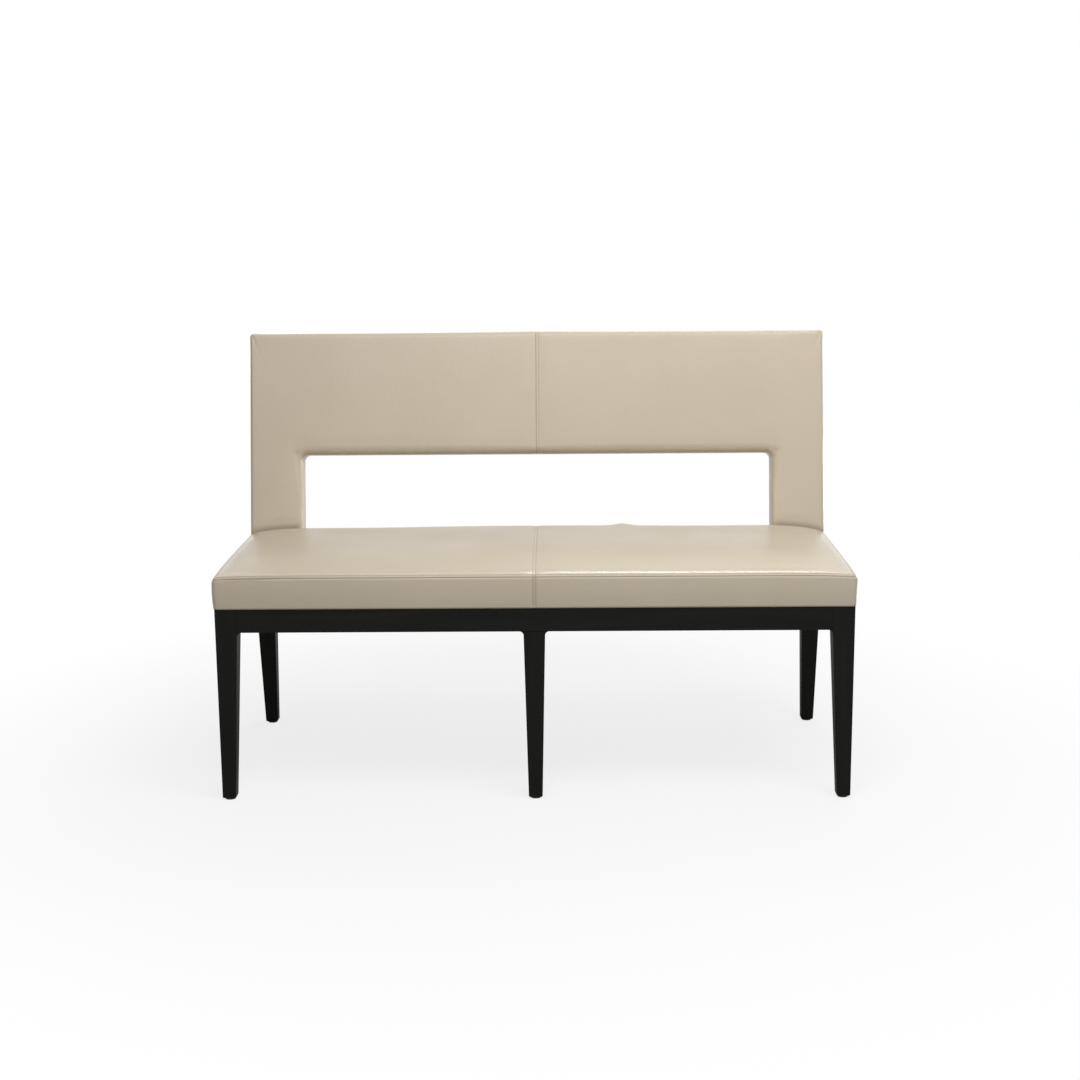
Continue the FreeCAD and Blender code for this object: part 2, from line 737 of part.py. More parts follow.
def back_board(inset, near, far):
    """Flat board over the back's frame, with its screw bores."""
    return cut_all(lean(back_ring(inset, near, far)), back_bores())


# The whole assembly

foam_edge = leather + fit
foam_split = panel_low + foam_edge
border_top = seat_edge_height - border_seam_drop
pieces = {
    "front_leg_left": front_leg_left(),
    "front_leg_centre": front_leg_centre(),
    "rear_leg_left": rear_leg_left(),
    "front_rail": front_rail(),
    "rear_rail": rear_rail(),
    "side_rail_left": side_rail_left(),
    "cross_rail_left": cross_rail(-cross_rail_offset),
    "cross_rail_centre": cross_rail(0.0),
    "corner_block_front_left": corner_block(True),
    "corner_block_rear_left": corner_block(False),
    "seat_board": seat_board(),
    "seat_foam": seat_foam(),
    "seat_top_left": seat_cover_band(border_top, overall_height),
    "seat_border_left": seat_cover_band(0.0, border_top),
    "dust_cover": dust_cover(),
    "back_top_rail": back_rail(top_rail_high - back_rail_height, back_top),
    "back_panel_rail": back_rail(panel_rail_low, panel_rail_low + back_rail_height),
    "back_sill_rail": back_rail(back_foot, sill_rail_high),
    "back_inner_stile_left": back_inner_stile_left(),
    "back_facing_board": back_board(leather + frame_edge_gap, foam_back, stile_front),
    "back_rear_board": back_board(leather + back_rear_round, stile_rear, stile_rear + rear_board),
    "back_foam_top": back_foam_piece(-half_width, half_width, foam_split, back_top),
    "back_foam_left": back_foam_piece(-half_width, -window_corner_reach, back_foot, foam_split),
    "back_foam_sill": back_foam_piece(-window_corner_reach, window_corner_reach, back_foot, sill),
    "back_cover_left": back_cover_left(),
    "back_rear_panel_left": back_rear_panel_left(),
}
for name in [name for name in pieces if name.endswith("_left")]:
    pieces[name[: -len("left")] + "right"] = mirrored(pieces[name])

# Groups of like pieces
feet = [middle_of(front_foot()), middle_of(rear_foot())]
feet += [(-x, y) for x, y in feet] + [middle_of(centre_foot())]
block_screws = []
for at_front in (True, False):
    for seat_point, into in corner_block_screw_seats(at_front):
        left_screw = screw(seat_point, into, block_screw)
        block_screws += [left_screw, mirrored(left_screw)]
groups = {
    "foot_glides": [glide(foot) for foot in feet],
    "corner_block_screws": block_screws,
    "seat_fixing_screws": [screw(p, d, seat_screw) for p, d in seat_screw_seats()],
    "centre_leg_screws": [screw(p, d, leg_screw) for p, d in centre_leg_screw_seats()],
    "back_frame_dowels": [lean(dowel) for dowel in upright_dowels()],
    "facing_board_screws": [lean(screw(p, d, board_screw)) for p, d in facing_screw_seats()],
    "rear_board_screws": [lean(screw(p, d, pin_screw)) for p, d in rear_screw_seats()],
}
for name, members in groups.items():
    pieces[name] = Part.makeCompound(members)

os.makedirs("parts", exist_ok=True)
for name, piece in pieces.items():
    placed = piece.copy()
    placed.translate(V(0, -overall_depth / 2, 0))
    placed.exportStep("parts/" + name + ".step")
    print(f"{name}: {len(placed.Solids)} solid(s), {placed.Volume / 1000:.1f} cm3")
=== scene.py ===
# %% [markdown]
# # A banquette with a window back
# The real bench is a black-stained timber frame that carries a padded leather seat and a padded leather back with a
# wide window in it. The timber, boards and screws come from the CAD model and only get better finishes here. The soft
# pieces are built again, because a cushion needs a crown, seams and creases that a CAD solid doesn't have. Everything
# is in metres, x along the seat, y towards the back and z up.

# %% Load the frame
import math

import bpy
import numpy as np
from mathutils import Matrix, Vector


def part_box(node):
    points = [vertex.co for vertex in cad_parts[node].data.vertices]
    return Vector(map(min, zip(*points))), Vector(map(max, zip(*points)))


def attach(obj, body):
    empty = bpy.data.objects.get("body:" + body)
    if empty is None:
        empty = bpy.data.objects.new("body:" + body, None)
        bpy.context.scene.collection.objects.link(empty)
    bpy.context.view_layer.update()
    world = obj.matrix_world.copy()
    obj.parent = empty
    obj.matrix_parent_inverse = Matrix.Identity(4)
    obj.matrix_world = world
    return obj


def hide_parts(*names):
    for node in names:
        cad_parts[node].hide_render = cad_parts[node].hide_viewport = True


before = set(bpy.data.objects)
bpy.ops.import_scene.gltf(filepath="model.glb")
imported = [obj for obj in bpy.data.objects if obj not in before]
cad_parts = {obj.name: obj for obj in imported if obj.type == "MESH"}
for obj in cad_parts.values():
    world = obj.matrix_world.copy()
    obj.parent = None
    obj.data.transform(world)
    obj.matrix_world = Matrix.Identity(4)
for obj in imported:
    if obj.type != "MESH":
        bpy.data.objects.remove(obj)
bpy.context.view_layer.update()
scene = bpy.context.scene
MM = 0.001
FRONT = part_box("seat_border_left")[0].y  # y of the seat's front, from which the drawing's depths are measured
print("nodes", len(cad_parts), "front at", round(FRONT, 4))

# %% [markdown]
# ## From an array of points to a mesh
# A soft piece could be pushed about by hand with sculpt brushes, or grown from a cube with a subdivision surface. Here
# each one is a grid: a loop of stations around the piece, and rows of a profile carried along that loop. Numpy works
# out all points at once, and the faces follow from the grid's numbering.

# %% Grids and meshes
def ring_quads(stations, rows, closed_rows=False):
    """Quads of a grid of points numbered station * rows + row. Stations close on themselves, and rows do if asked."""
    s = np.arange(stations)[:, None]
    r = np.arange(rows if closed_rows else rows - 1)[None, :]
    s1, r1 = (s + 1) % stations, (r + 1) % rows
    return np.stack([s * rows + r, s1 * rows + r, s1 * rows + r1, s * rows + r1], -1).reshape(-1, 4)


def new_piece(name, points, face_sets, material=None):
    """One smooth mesh object at the origin from an array of points and arrays of faces. With a material it is a piece
    of the bench and rides on it."""
    points = np.asarray(points, np.float32).reshape(-1, 3)
    mesh = bpy.data.meshes.new(name)
    mesh.from_pydata(points, [], [face for faces in face_sets for face in faces.tolist()], shade_flat=False)
    mesh.validate()
    piece = bpy.data.objects.new(name, mesh)
    scene.collection.objects.link(piece)
    if material:
        mesh.materials.append(material)
        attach(piece, "root")
    print(name, len(points), "points", len(mesh.polygons), "faces")
    return piece


def set_attribute(piece, name, values):
    """One number for each point, which the piece's material can read."""
    attribute = piece.data.attributes.new(name, "FLOAT", "POINT")
    attribute.data.foreach_set("value", np.asarray(values, np.float32).ravel())


# %% [markdown]
# ## Loops that share their stations
# The seat's plan and the back's outline and window are all rounded rectangles. A rounded rectangle is a smaller
# rectangle pushed outwards by the corner's radius, so a station is kept as a place on that smaller rectangle and the
# direction of the push. Any loop, wide or narrow, is then the same stations with other sizes, and the rows between two
# loops never twist.

# %% Stations of a rounded rectangle
class Stations:
    """Stations counter-clockwise: low edge, right edge, high edge and left edge, with arcs between them.
    place_x and place_y are shares from -1 to 1 of the inner rectangle, push_x and push_y the unit direction, and path
    is a running number from 0 to 8."""

    def __init__(self, edge, side, arc):
        turn = np.linspace(0, 90, arc + 2)[1:-1]
        parts = []
        for quarter, shares in enumerate((edge, side, edge, side)):
            angle = math.radians(90 * quarter - 90)
            cos, sin = math.cos(angle), math.sin(angle)
            straight = np.stack([cos - shares * sin, sin + shares * cos], 1)
            parts.append((straight, np.full(len(shares), angle), 2 * quarter + (shares + 1) / 2))
            corner = np.tile([cos - sin, sin + cos], (arc, 1))
            parts.append((corner, angle + np.radians(turn), 2 * quarter + 1 + turn / 90))
        place, angles, self.path = (np.concatenate(column) for column in zip(*parts))
        self.place_x, self.place_y = np.round(place, 9).T[:, :, None]
        self.push_x, self.push_y = np.cos(angles)[:, None], np.sin(angles)[:, None]
        self.count = len(self.path)
        self.edge, self.side, self.arc = len(edge), len(side), arc
        self.first_high = self.edge + self.side + 2 * arc
        self.first_left = self.first_high + self.edge + arc

    def loop(self, half_wide, low, high, radius):
        """Points of the loop: centre + place * (half size - radius) + push * radius, for each row's sizes."""
        half_high, middle = (high - low) / 2, (high + low) / 2
        a = self.place_x * (half_wide - radius) + self.push_x * radius
        b = self.place_y * (half_high - radius) + self.push_y * radius + middle
        return a, b

    def zip_faces(self, rows, row):
        """Faces that close a ring: the low half is joined to the high half, station by station."""
        middle = self.side // 2
        left, right = self.first_left + middle, self.edge + self.arc + middle
        low = np.arange(left, right + self.count + 1) % self.count
        high = np.arange(left, right - 1, -1)
        low, high = low * rows + row, high * rows + row
        quads = np.stack([low[1:-2], low[2:-1], high[2:-1], high[1:-2]], 1)
        ends = np.array([[low[0], low[1], high[1]], [low[-2], low[-1], high[-2]]])
        return quads, ends


def shares_from(steps):
    """Symmetric shares from -1 to 1 with a station at 0, from growing steps on one side."""
    half = np.asarray(steps, float)
    half = half / half[-1]
    return np.concatenate([-half[::-1], [0], half])


def edge_steps(half, seam_steps, count):
    """Distances from a centre seam: some close steps first, then even ones out to half."""
    return np.concatenate([seam_steps, np.linspace(seam_steps[-1], half, count + 1)[1:]])


# %% [markdown]
# ## Node groups for hide and timber
# Leather has a pebbled surface with fine pores and a slow drift of colour; stained timber has drawn-out fibres. Both
# effects are used by several finishes, so each is a node group with named sockets: built once, placed in each material
# with its own values. They read object coordinates in metres, so the grain has its real size on every piece.

# %% Node helpers
def add_node(tree, kind, settings=None, inputs=None):
    """A node with its settings, and its inputs either set to a value or joined to an output."""
    made = tree.nodes.new(kind)
    for key, value in (settings or {}).items():
        setattr(made, key, value)
    for key, value in (inputs or {}).items():
        if isinstance(value, bpy.types.NodeSocket):
            tree.links.new(value, made.inputs[key])
        else:
            made.inputs[key].default_value = value
    return made


def maths(tree, operation, *values):
    """Output of a Math node that works on plain values or on other outputs."""
    return add_node(tree, "ShaderNodeMath", {"operation": operation}, dict(enumerate(values))).outputs[0]


def noise(tree, vector, scale, detail, **more):
    """Output of a noise texture."""
    inputs = {"Vector": vector, "Scale": scale, "Detail": detail, **more}
    return add_node(tree, "ShaderNodeTexNoise", None, inputs).outputs[0]


def new_group(name, sizes, outputs):
    """An empty node group that takes a vector and some sizes and puts out some values, with its two end nodes."""
    group = bpy.data.node_groups.new(name, "ShaderNodeTree")
    group.interface.new_socket("Vector", in_out="INPUT", socket_type="NodeSocketVector")
    for socket, size in sizes.items():
        group.interface.new_socket(socket, in_out="INPUT", socket_type="NodeSocketFloat").default_value = size
    for socket in outputs:
        group.interface.new_socket(socket, in_out="OUTPUT", socket_type="NodeSocketFloat")
    return group, group.nodes.new("NodeGroupInput").outputs, group.nodes.new("NodeGroupOutput").inputs


# %% Hide grain
sizes = {"Pebble Size": 0.0022, "Drift Size": 0.18}
hide_grain, given, wanted = new_group("hide_grain", sizes, ("Height", "Drift", "Speckle"))
per_pebble, per_drift = (maths(hide_grain, "DIVIDE", 1.0, given[size]) for size in sizes)
pebble_inputs = {"Vector": given["Vector"], "Scale": per_pebble, "Smoothness": 0.6}
pebbles = add_node(hide_grain, "ShaderNodeTexVoronoi", {"feature": "SMOOTH_F1"}, pebble_inputs).outputs["Distance"]
pores = noise(hide_grain, given["Vector"], per_pebble, 3.0, Roughness=0.65)
drift = noise(hide_grain, given["Vector"], per_drift, 4.0, Roughness=0.55)
hide_grain.links.new(maths(hide_grain, "MULTIPLY_ADD", pores, 0.5, pebbles), wanted["Height"])
hide_grain.links.new(drift, wanted["Drift"])
hide_grain.links.new(pores, wanted["Speckle"])

# %% Timber grain
timber_grain, given, wanted = new_group("timber_grain", {"Fibre Size": 0.0016}, ("Height", "Figure"))
per_fibre = maths(timber_grain, "DIVIDE", 1.0, given["Fibre Size"])
per_figure = maths(timber_grain, "MULTIPLY", per_fibre, 0.06)
timber_grain.links.new(noise(timber_grain, given["Vector"], per_fibre, 3.0, Roughness=0.7), wanted["Height"])
timber_grain.links.new(noise(timber_grain, given["Vector"], per_figure, 2.0, Distortion=1.2), wanted["Figure"])
print("groups", [g.name for g in bpy.data.node_groups])

# %% [markdown]
# ## The finishes
# The leather is a semi-matt cream hide. Its colour drifts a little over each panel, painted shade darkens it in the
# seams, the creases and where the seat meets the back, and it turns slightly glossier where it is stretched. The stain
# on the timber is almost black, so its fibres show mostly in the sheen: they change the roughness and the bump more
# than the colour.

# %% Finish helpers
def linear(red, green, blue):
    """Linear colour of a colour as a screen shows it, from 0 to 255."""
    c = np.array([red, green, blue]) / 255
    c = np.where(c <= 0.04045, c / 12.92, ((c + 0.055) / 1.055) ** 2.4)
    return (*c.tolist(), 1.0)


def new_finish(name, colour, roughness, specular=0.5, metallic=0.0):
    """A material, its node tree, its Principled shader with the plain values set, and an object coordinate."""
    material = bpy.data.materials.new(name)
    material.use_nodes = True
    tree = material.node_tree
    shader = tree.nodes["Principled BSDF"]
    plain = {"Base Color": colour, "Roughness": roughness, "Specular IOR Level": specular, "Metallic": metallic}
    for socket, value in plain.items():
        shader.inputs[socket].default_value = value
    return material, tree, shader, tree.nodes.new("ShaderNodeTexCoord").outputs["Object"]


def blend_colours(tree, share, low, high):
    """The colour between low and high at a share from 0 to 1."""
    return add_node(tree, "ShaderNodeMix", {"data_type": "RGBA"}, {0: share, 6: low, 7: high}).outputs[2]


def spread(tree, value, low, high, to_low, to_high, kind="LINEAR"):
    """Carries a value from one range to another, clamped."""
    ends = {"From Min": low, "From Max": high, "To Min": to_low, "To Max": to_high}
    made = add_node(tree, "ShaderNodeMapRange", {"interpolation_type": kind}, {"Value": value, **ends})
    return made.outputs["Result"]


def dress(tree, shader, colour, roughness, height, depth, strength):
    """Joins a colour, a roughness and a bump of a depth in metres to a shader."""
    bump = add_node(tree, "ShaderNodeBump", None, {"Strength": strength, "Distance": depth, "Height": height})
    for socket, output in (("Base Color", colour), ("Roughness", roughness), ("Normal", bump.outputs["Normal"])):
        tree.links.new(output, shader.inputs[socket])


# %% Leather
STRETCH_GLOSS, STRETCH_COAT = 0.13, 0.3  # how much smoother stretched hide is, and how much of a coat it shows


def leather_finish(name, pale, deep, painted_shade_colour, roughness):
    """Cream hide: drift between two colours, speckle and a pebbled bump. The piece's own attributes paint shade into
    the seams, creases and crevices, and make stretched hide glossier."""
    material, tree, shader, place = new_finish(name, pale, roughness, specular=0.35)
    grain = add_node(tree, "ShaderNodeGroup", {"node_tree": hide_grain}, {"Vector": place}).outputs
    seam, stretch = (
        add_node(tree, "ShaderNodeAttribute", {"attribute_name": own}).outputs["Fac"] for own in ("seam", "stretch")
    )
    colour = blend_colours(tree, spread(tree, grain["Drift"], 0.35, 0.65, 0.0, 1.0), deep, pale)
    colour = blend_colours(tree, spread(tree, grain["Speckle"], 0.3, 0.7, 0.12, 0.0), colour, deep)
    # painted shade: the seam attribute darkens the hide towards this colour in grooves, creases and crevices
    colour = blend_colours(tree, seam, colour, painted_shade_colour)
    drifting = spread(tree, grain["Drift"], 0.3, 0.7, roughness + 0.05, roughness - 0.05)
    glossier = maths(tree, "MULTIPLY_ADD", stretch, -STRETCH_GLOSS, drifting)
    dress(tree, shader, colour, glossier, grain["Height"], 0.0006, 0.35)
    tree.links.new(maths(tree, "MULTIPLY", stretch, STRETCH_COAT), shader.inputs["Coat Weight"])
    shader.inputs["Coat Roughness"].default_value = 0.12
    return material


cream_leather = leather_finish(
    "cream_leather", linear(217, 205, 184), linear(213, 201, 179), linear(120, 108, 88), 0.35
)

# %% Timber
def timber_finish(name, axis, pale, dark, roughness, sheen, depth):
    """Timber with fibres drawn out along one axis: 0 along the bench, 1 across its depth, 2 upright."""
    material, tree, shader, place = new_finish(name, dark, roughness, specular=sheen)
    drawn_out = [1.0, 1.0, 1.0]
    drawn_out[axis] = 0.05
    mapping = add_node(tree, "ShaderNodeMapping", None, {"Vector": place, "Scale": drawn_out})
    grain = add_node(tree, "ShaderNodeGroup", {"node_tree": timber_grain}, {"Vector": mapping.outputs[0]}).outputs
    tone = maths(tree, "MULTIPLY", grain["Figure"], grain["Height"])
    colour = blend_colours(tree, spread(tree, tone, 0.12, 0.42, 0.0, 1.0), dark, pale)
    duller = spread(tree, grain["Height"], 0.3, 0.7, roughness - 0.06, roughness + 0.08)
    dress(tree, shader, colour, duller, grain["Height"], depth, 0.4)
    return material


def cut_all_ways(name, *look):
    """The same timber three times, with its fibres along each axis."""
    return [timber_finish(name + way, axis, *look) for axis, way in enumerate(("_along", "_deep", "_upright"))]


stained_timber = cut_all_ways("stained_timber", linear(24, 24, 20), linear(10, 10, 8), 0.55, 0.135, 0.0003)
frame_timber = cut_all_ways("frame_timber", linear(214, 182, 140), linear(188, 150, 106), 0.6, 0.4, 0.0003)
plywood = timber_finish("plywood", 0, linear(208, 180, 138), linear(176, 142, 100), 0.65, 0.4, 0.0004)

# %% Steel, nylon, thread and cloth
def speckled_finish(name, pale, dark, size, roughness, metallic, depth):
    """A finish with a fine speckle in colour, roughness and bump: zinc, moulded nylon, thread or felted cloth."""
    material, tree, shader, place = new_finish(name, pale, roughness, metallic=metallic)
    speckle = noise(tree, place, 1 / size, 3.0)
    colour = blend_colours(tree, spread(tree, speckle, 0.3, 0.7, 0.0, 1.0), dark, pale)
    mottled = spread(tree, speckle, 0.3, 0.7, roughness - 0.07, roughness + 0.07)
    dress(tree, shader, colour, mottled, speckle, depth, 0.4)
    return material


zinc_steel = speckled_finish("zinc_steel", linear(196, 198, 200), linear(160, 163, 168), 0.0012, 0.35, 1.0, 0.0001)
nylon = speckled_finish("nylon", linear(60, 58, 55), linear(42, 41, 39), 0.0008, 0.55, 0.0, 0.0001)
thread = speckled_finish("thread", linear(212, 200, 178), linear(190, 178, 155), 0.0004, 0.7, 0.0, 0.0002)
dust_cloth = speckled_finish("dust_cloth", linear(44, 43, 42), linear(26, 26, 26), 0.0009, 0.9, 0.0, 0.0003)
print("finishes", len(bpy.data.materials))

# %% [markdown]
# ## The seat pad
# On the real seat a top panel is sewn to a border band, with a seam along the front edge and one down the middle. The
# pad could be a subdivided box, but its top is a measured crown: flat for most of its length and rolled down towards
# the ends and the front. So the plan is a rounded rectangle, the rows run up the border, round the edge and in over the
# crown, and the last ring is zipped shut. The underside hugs the plywood board, as stretched and stapled leather does.

# %% Soft curves
def bell(distance, width):
    """exp(-(distance / width) squared)."""
    return np.exp(-((distance / width) ** 2))


def smooth_step(value):
    """0 below 0, 1 above 1, and 3 v squared less 2 v cubed between them."""
    v = np.clip(value, 0, 1)
    return v * v * (3 - 2 * v)


# %% Seat sizes and crown
SEAT_HALF, SEAT_DEEP = 675 * MM, 462.6 * MM  # half the width, and the depth at the foot
SEAT_FOOT, SEAT_EDGE = 420 * MM, 486 * MM  # heights of the border's foot and of the edge
SEAT_CORNER = 11 * MM
EDGE_ROUNDS = np.array([9, 12, 15]) * MM  # rounding of the top edge in front, at the sides and at the rear
RAKE = math.radians(10)  # lean of the back and of the seat's rear face
EDGE_LIFT, CROWN, MIDDLE_LIFT = 4 * MM, 19 * MM, 1.4 * MM
SAT_ON = ((-0.43, 0.22, 3.4 * MM), (0.4, 0.2, 2.4 * MM))  # x, width and depth of the places where people sit
FOLD_X, REAR_LINE = 0.2, 0.45  # x of the small fold, and depth of the seat's rear edge


def seat_crown(x, depth):
    """Height of the seat's top: the edge and the crown fall off with the 14th power of x towards the ends, the crown
    rises as 1 - (1 - y / 250) cubed behind the front and sinks by a tenth towards the rear, and the middle stands a
    little higher than the two places where people sit. A small fold lies on the rear edge, right of the middle."""
    along = np.clip(x / SEAT_HALF, -1, 1)
    end = 0.16 - 0.08 * along
    swell = end + (1 - end) * (1 - np.abs(along) ** 14)
    roll = 1 - np.clip(1 - depth / 0.250, 0, 1) ** 3
    rear = 1 - 0.1 * smooth_step((depth - 0.29) / 0.17)
    uneven = MIDDLE_LIFT
    for place, width, sink in SAT_ON:
        uneven = uneven - sink * bell(x - place, width)
    fold = 4.5 * MM * bell(x - FOLD_X, 0.022) * bell(depth - REAR_LINE, 0.02)
    return SEAT_EDGE + EDGE_LIFT * swell + (CROWN + uneven) * swell * roll * rear + fold


print("crown in the middle", round(float(seat_crown(0, 0.25)), 4))

# %% Seat profile
TUCK = 3.4 * MM  # inset of the leather where it turns round the board's edge
BOARD_TOP = 436.4 * MM


def join_stages(stages):
    """Columns of a profile from its stages, one after the other, and the rows in each. One value fills a stage."""
    counts = [max(map(np.size, stage)) for stage in stages]
    filled = [np.stack([np.broadcast_to(value, n) for value in stage]) for stage, n in zip(stages, counts)]
    return np.concatenate(filled, 1).astype(float), counts


def seat_rows(border, edge, top):
    """Rows of the seat's profile: inset, share of the edge's rounding in the inset and in the drop, share of the way in
    over the top, foot height, share of the top's height, and a running number. They start under the pad, go round the
    board's edge, up the border and in over the top."""
    over_board = np.array([0.96, 0.6, 0.2]) * SEAT_DEEP / 2
    under = np.concatenate([over_board, np.array([26, 3.4, 3.2, 3.2, 3.4, 20, 21.5, 21.5, 20, 3]) * MM])
    heights = np.array([436.7] * 5 + [436.5, 421.3, 421.1, 421.1, 421.0, 420.2, 420.0, 420.0]) * MM
    up = np.linspace(0, 1, border + 1)[:-1]
    drawn_in = 1.5 * MM * (1 - up) ** 2 - 3 * MM * up * (1 - up)  # in at the border's foot, full half-way up
    turn = np.radians(np.linspace(0, 90, edge + 1))
    steps = np.linspace(0, 1, top + 1)[1:] ** 1.6
    columns, _ = join_stages([
        (under, 0, 1, 0, heights, 0, np.arange(len(under)) - len(under)),
        (drawn_in, 0, 1, 0, SEAT_FOOT, up, up),
        (0, 1 - np.cos(turn), 1 - np.sin(turn), 0, SEAT_FOOT, 1, 1 + turn / turn[-1]),
        (0, 1, 0, steps, SEAT_FOOT, 1, 2 + steps),
    ])
    return columns


def seat_form(stations, rows):
    """Points of the seat: loops drawn in row by row, then lifted to the top's height and leaned at the rear. There the
    underside is hardly drawn in, and the inner rings bow out at their ends, so that no two rows fall together."""
    inset, bend, drop, way_in, foot, share, _ = (r[None, :] for r in rows)
    deep = SEAT_DEEP / 2
    rear = (stations.push_y > 0.9) & (foot < BOARD_TOP) & (share == 0)
    rounding = np.interp(stations.push_y, [-1, 0, 1], EDGE_ROUNDS)
    inset = np.where(rear & (inset > TUCK), TUCK + 0.05 * (inset - TUCK), inset)
    inset = inset + rounding * bend + way_in * (0.965 * deep - rounding)
    radius = np.maximum(SEAT_CORNER - inset, 0) + 0.5 * (deep - inset) * inset / deep + 0.4 * MM
    x, depth = stations.loop(SEAT_HALF - inset, inset, SEAT_DEEP - inset, radius)
    x = x + stations.push_x * (4 * MM * (inset / deep) ** 2 * (1 - stations.place_y**2))
    z = foot + share * (seat_crown(x, depth) - rounding * drop - foot)
    y = depth * (1 + (z - SEAT_FOOT) * math.tan(RAKE) / SEAT_DEEP)
    return np.stack([x, y + FRONT, z], -1)


# %% Seat grid
SEAM_STEPS = np.array([0.5, 1, 1.6, 2.1, 2.6, 3.2, 3.8, 4.4, 5.1, 5.8, 6.5, 7.4, 9, 12]) * MM
long_edge = shares_from(edge_steps(SEAT_HALF, SEAM_STEPS, 100))
seat_loop = Stations(long_edge, shares_from(np.linspace(0, 1, 34)[1:]), 6)
seat_profile = seat_rows(18, 24, 52)
seat_grid = seat_form(seat_loop, seat_profile)
row_count = seat_grid.shape[1]
below, below_ends = seat_loop.zip_faces(row_count, 0)
above, above_ends = seat_loop.zip_faces(row_count, row_count - 1)
seat_faces = [ring_quads(seat_loop.count, row_count), below[:, ::-1], below_ends[:, ::-1], above, above_ends]
print("seat box", seat_grid.min((0, 1)).round(4), seat_grid.max((0, 1)).round(4))

# %% [markdown]
# ## Seams and creases
# A seam pulls the hide down into the foam in a narrow valley, and a strained corner throws short creases. Both are
# pressed into the fine grid along its normals: a seam as a bell curve of the distance from it, a crease as a bell curve
# across a short line that fades at both ends.

# %% Pressing
def crease(points, start, end, width):
    """Weight of each point near the line from start to end: a bell across it, a half sine wave along it."""
    start, end = np.asarray(start, float), np.asarray(end, float)
    line = end - start
    share = np.clip(((points - start) @ line) / (line @ line), 0, 1)
    gap = np.linalg.norm(points - start - share[..., None] * line, axis=-1)
    return bell(gap, width) * np.sin(np.pi * np.clip(0.08 + 0.92 * share, 0, 1)) ** 0.7


def grid_normals(grid, closed_rows):
    """Unit normals of a ring grid: the cross product of the steps along the rows and along the loop."""
    along = np.roll(grid, -1, 0) - np.roll(grid, 1, 0)
    across = np.roll(grid, -1, 1) - np.roll(grid, 1, 1) if closed_rows else np.gradient(grid, axis=1)
    normal = np.cross(along, across)
    return normal / np.maximum(np.linalg.norm(normal, axis=-1, keepdims=True), 1e-12)


def press(grid, amount, closed_rows):
    """Moves the grid inwards along its normals by an amount in metres."""
    return grid - amount[..., None] * grid_normals(grid, closed_rows)


# %% Centre seam of the seat
SEAT_STITCH = 3.2 * MM  # distance of each sewn line from the centre seam
LINE = 0.9 * MM  # width of the groove under a sewn line
x, y, z = np.moveaxis(seat_grid, -1, 0)
row_number = seat_profile[6][None, :]
on_cover = smooth_step(row_number * 40)
on_top = smooth_step((row_number - 1.9) / 0.1)
lines = np.maximum(bell(x - SEAT_STITCH, LINE), bell(x + SEAT_STITCH, LINE)) * on_cover
strip = smooth_step((5.2 * MM - np.abs(x)) / (1.2 * MM)) * on_cover * (1 - on_top)
centre = 0.55 * MM * lines + bell(x, 9 * MM) * on_cover * 0.8 * MM + 0.5 * MM * strip
print("centre seam", round(1000 * centre.max(), 2), "mm deep")

# %% Edge seam of the seat
def run_along(line):
    """Running length at each point of a line: the sum of the steps up to it."""
    return np.concatenate([[0], np.cumsum(np.linalg.norm(np.diff(line, axis=0), axis=1))])


WELT = 6.6 * MM  # width of the strip between the two lines of the edge seam
seam_row = int(np.argmin(np.abs(seat_profile[6] - 1.38)))
edge_run = run_along(seat_grid[seat_loop.edge // 2])
edge_gap = (edge_run - edge_run[seam_row])[None, :]
front_or_side = smooth_step((0.6 - seat_loop.push_y) / 0.5)
edge_lines = front_or_side * np.maximum(bell(edge_gap, LINE), bell(edge_gap - WELT, LINE))
roll = bell(edge_gap - WELT - 13 * MM, 11 * MM) * 1.1 * MM * smooth_step(-20 * seat_loop.push_y)
edge_seam = edge_lines * 1.1 * MM - front_or_side * bell(edge_gap - WELT / 2, 1.5 * MM) * 0.3 * MM - roll
print("edge seam", round(1000 * edge_seam.max(), 2), "mm deep")

# %% Puckers of the seat
PUCKERS = (  # x of both ends in metres, height of the left end and depth in millimetres
    (-0.66, -0.52, 484, 0.7), (-0.645, -0.56, 480, 0.6), (-0.60, -0.47, 486, 0.5),
    (0.5, 0.63, 484, 0.35), (-0.2, -0.05, 486, 0.35), (0.1, 0.3, 485, 0.3),
)
puckers = np.zeros_like(x)
for x0, x1, height, depth in PUCKERS:
    puckers += depth * MM * crease(seat_grid, (x0, FRONT, height * MM), (x1, FRONT, (height + 1.5) * MM), 2.6 * MM)
waves = 0.16 * MM * np.sin(x / 0.041 + 1.3) * np.sin(x / 0.0173) * bell(edge_gap - 12 * MM, 14 * MM) * front_or_side
tight_end = 1.8 * MM * bell(row_number - 0.5, 0.4) * smooth_step((seat_loop.push_x - 0.2) / 0.6)  # on the right
print("puckers", round(1000 * puckers.max(), 2), "mm deep")

# %% Seat pad
BACK_FACE = 0.472  # depth of the back's face behind the seat's front, at the height of the edge
seat_grid = press(seat_grid, centre + edge_seam + puckers + waves + tight_end, False)
seat_pad = new_piece("seat_pad", seat_grid, seat_faces, cream_leather)
# Painted shade in the seat's "seam" attribute: darker seam grooves and puckers, and a contact shadow where the seat
# meets the back
seam_shade = np.maximum.reduce([0.3 * lines, 0.8 * edge_lines, 0.16 * strip])
gap = (FRONT + BACK_FACE - y) * math.cos(RAKE) + (z - SEAT_EDGE) * math.sin(RAKE)  # from the seat to the back's face
beside_window = smooth_step((np.abs(x) - 535 * MM) / (35 * MM)) * smooth_step((seat_loop.push_y - 0.3) / 0.5)
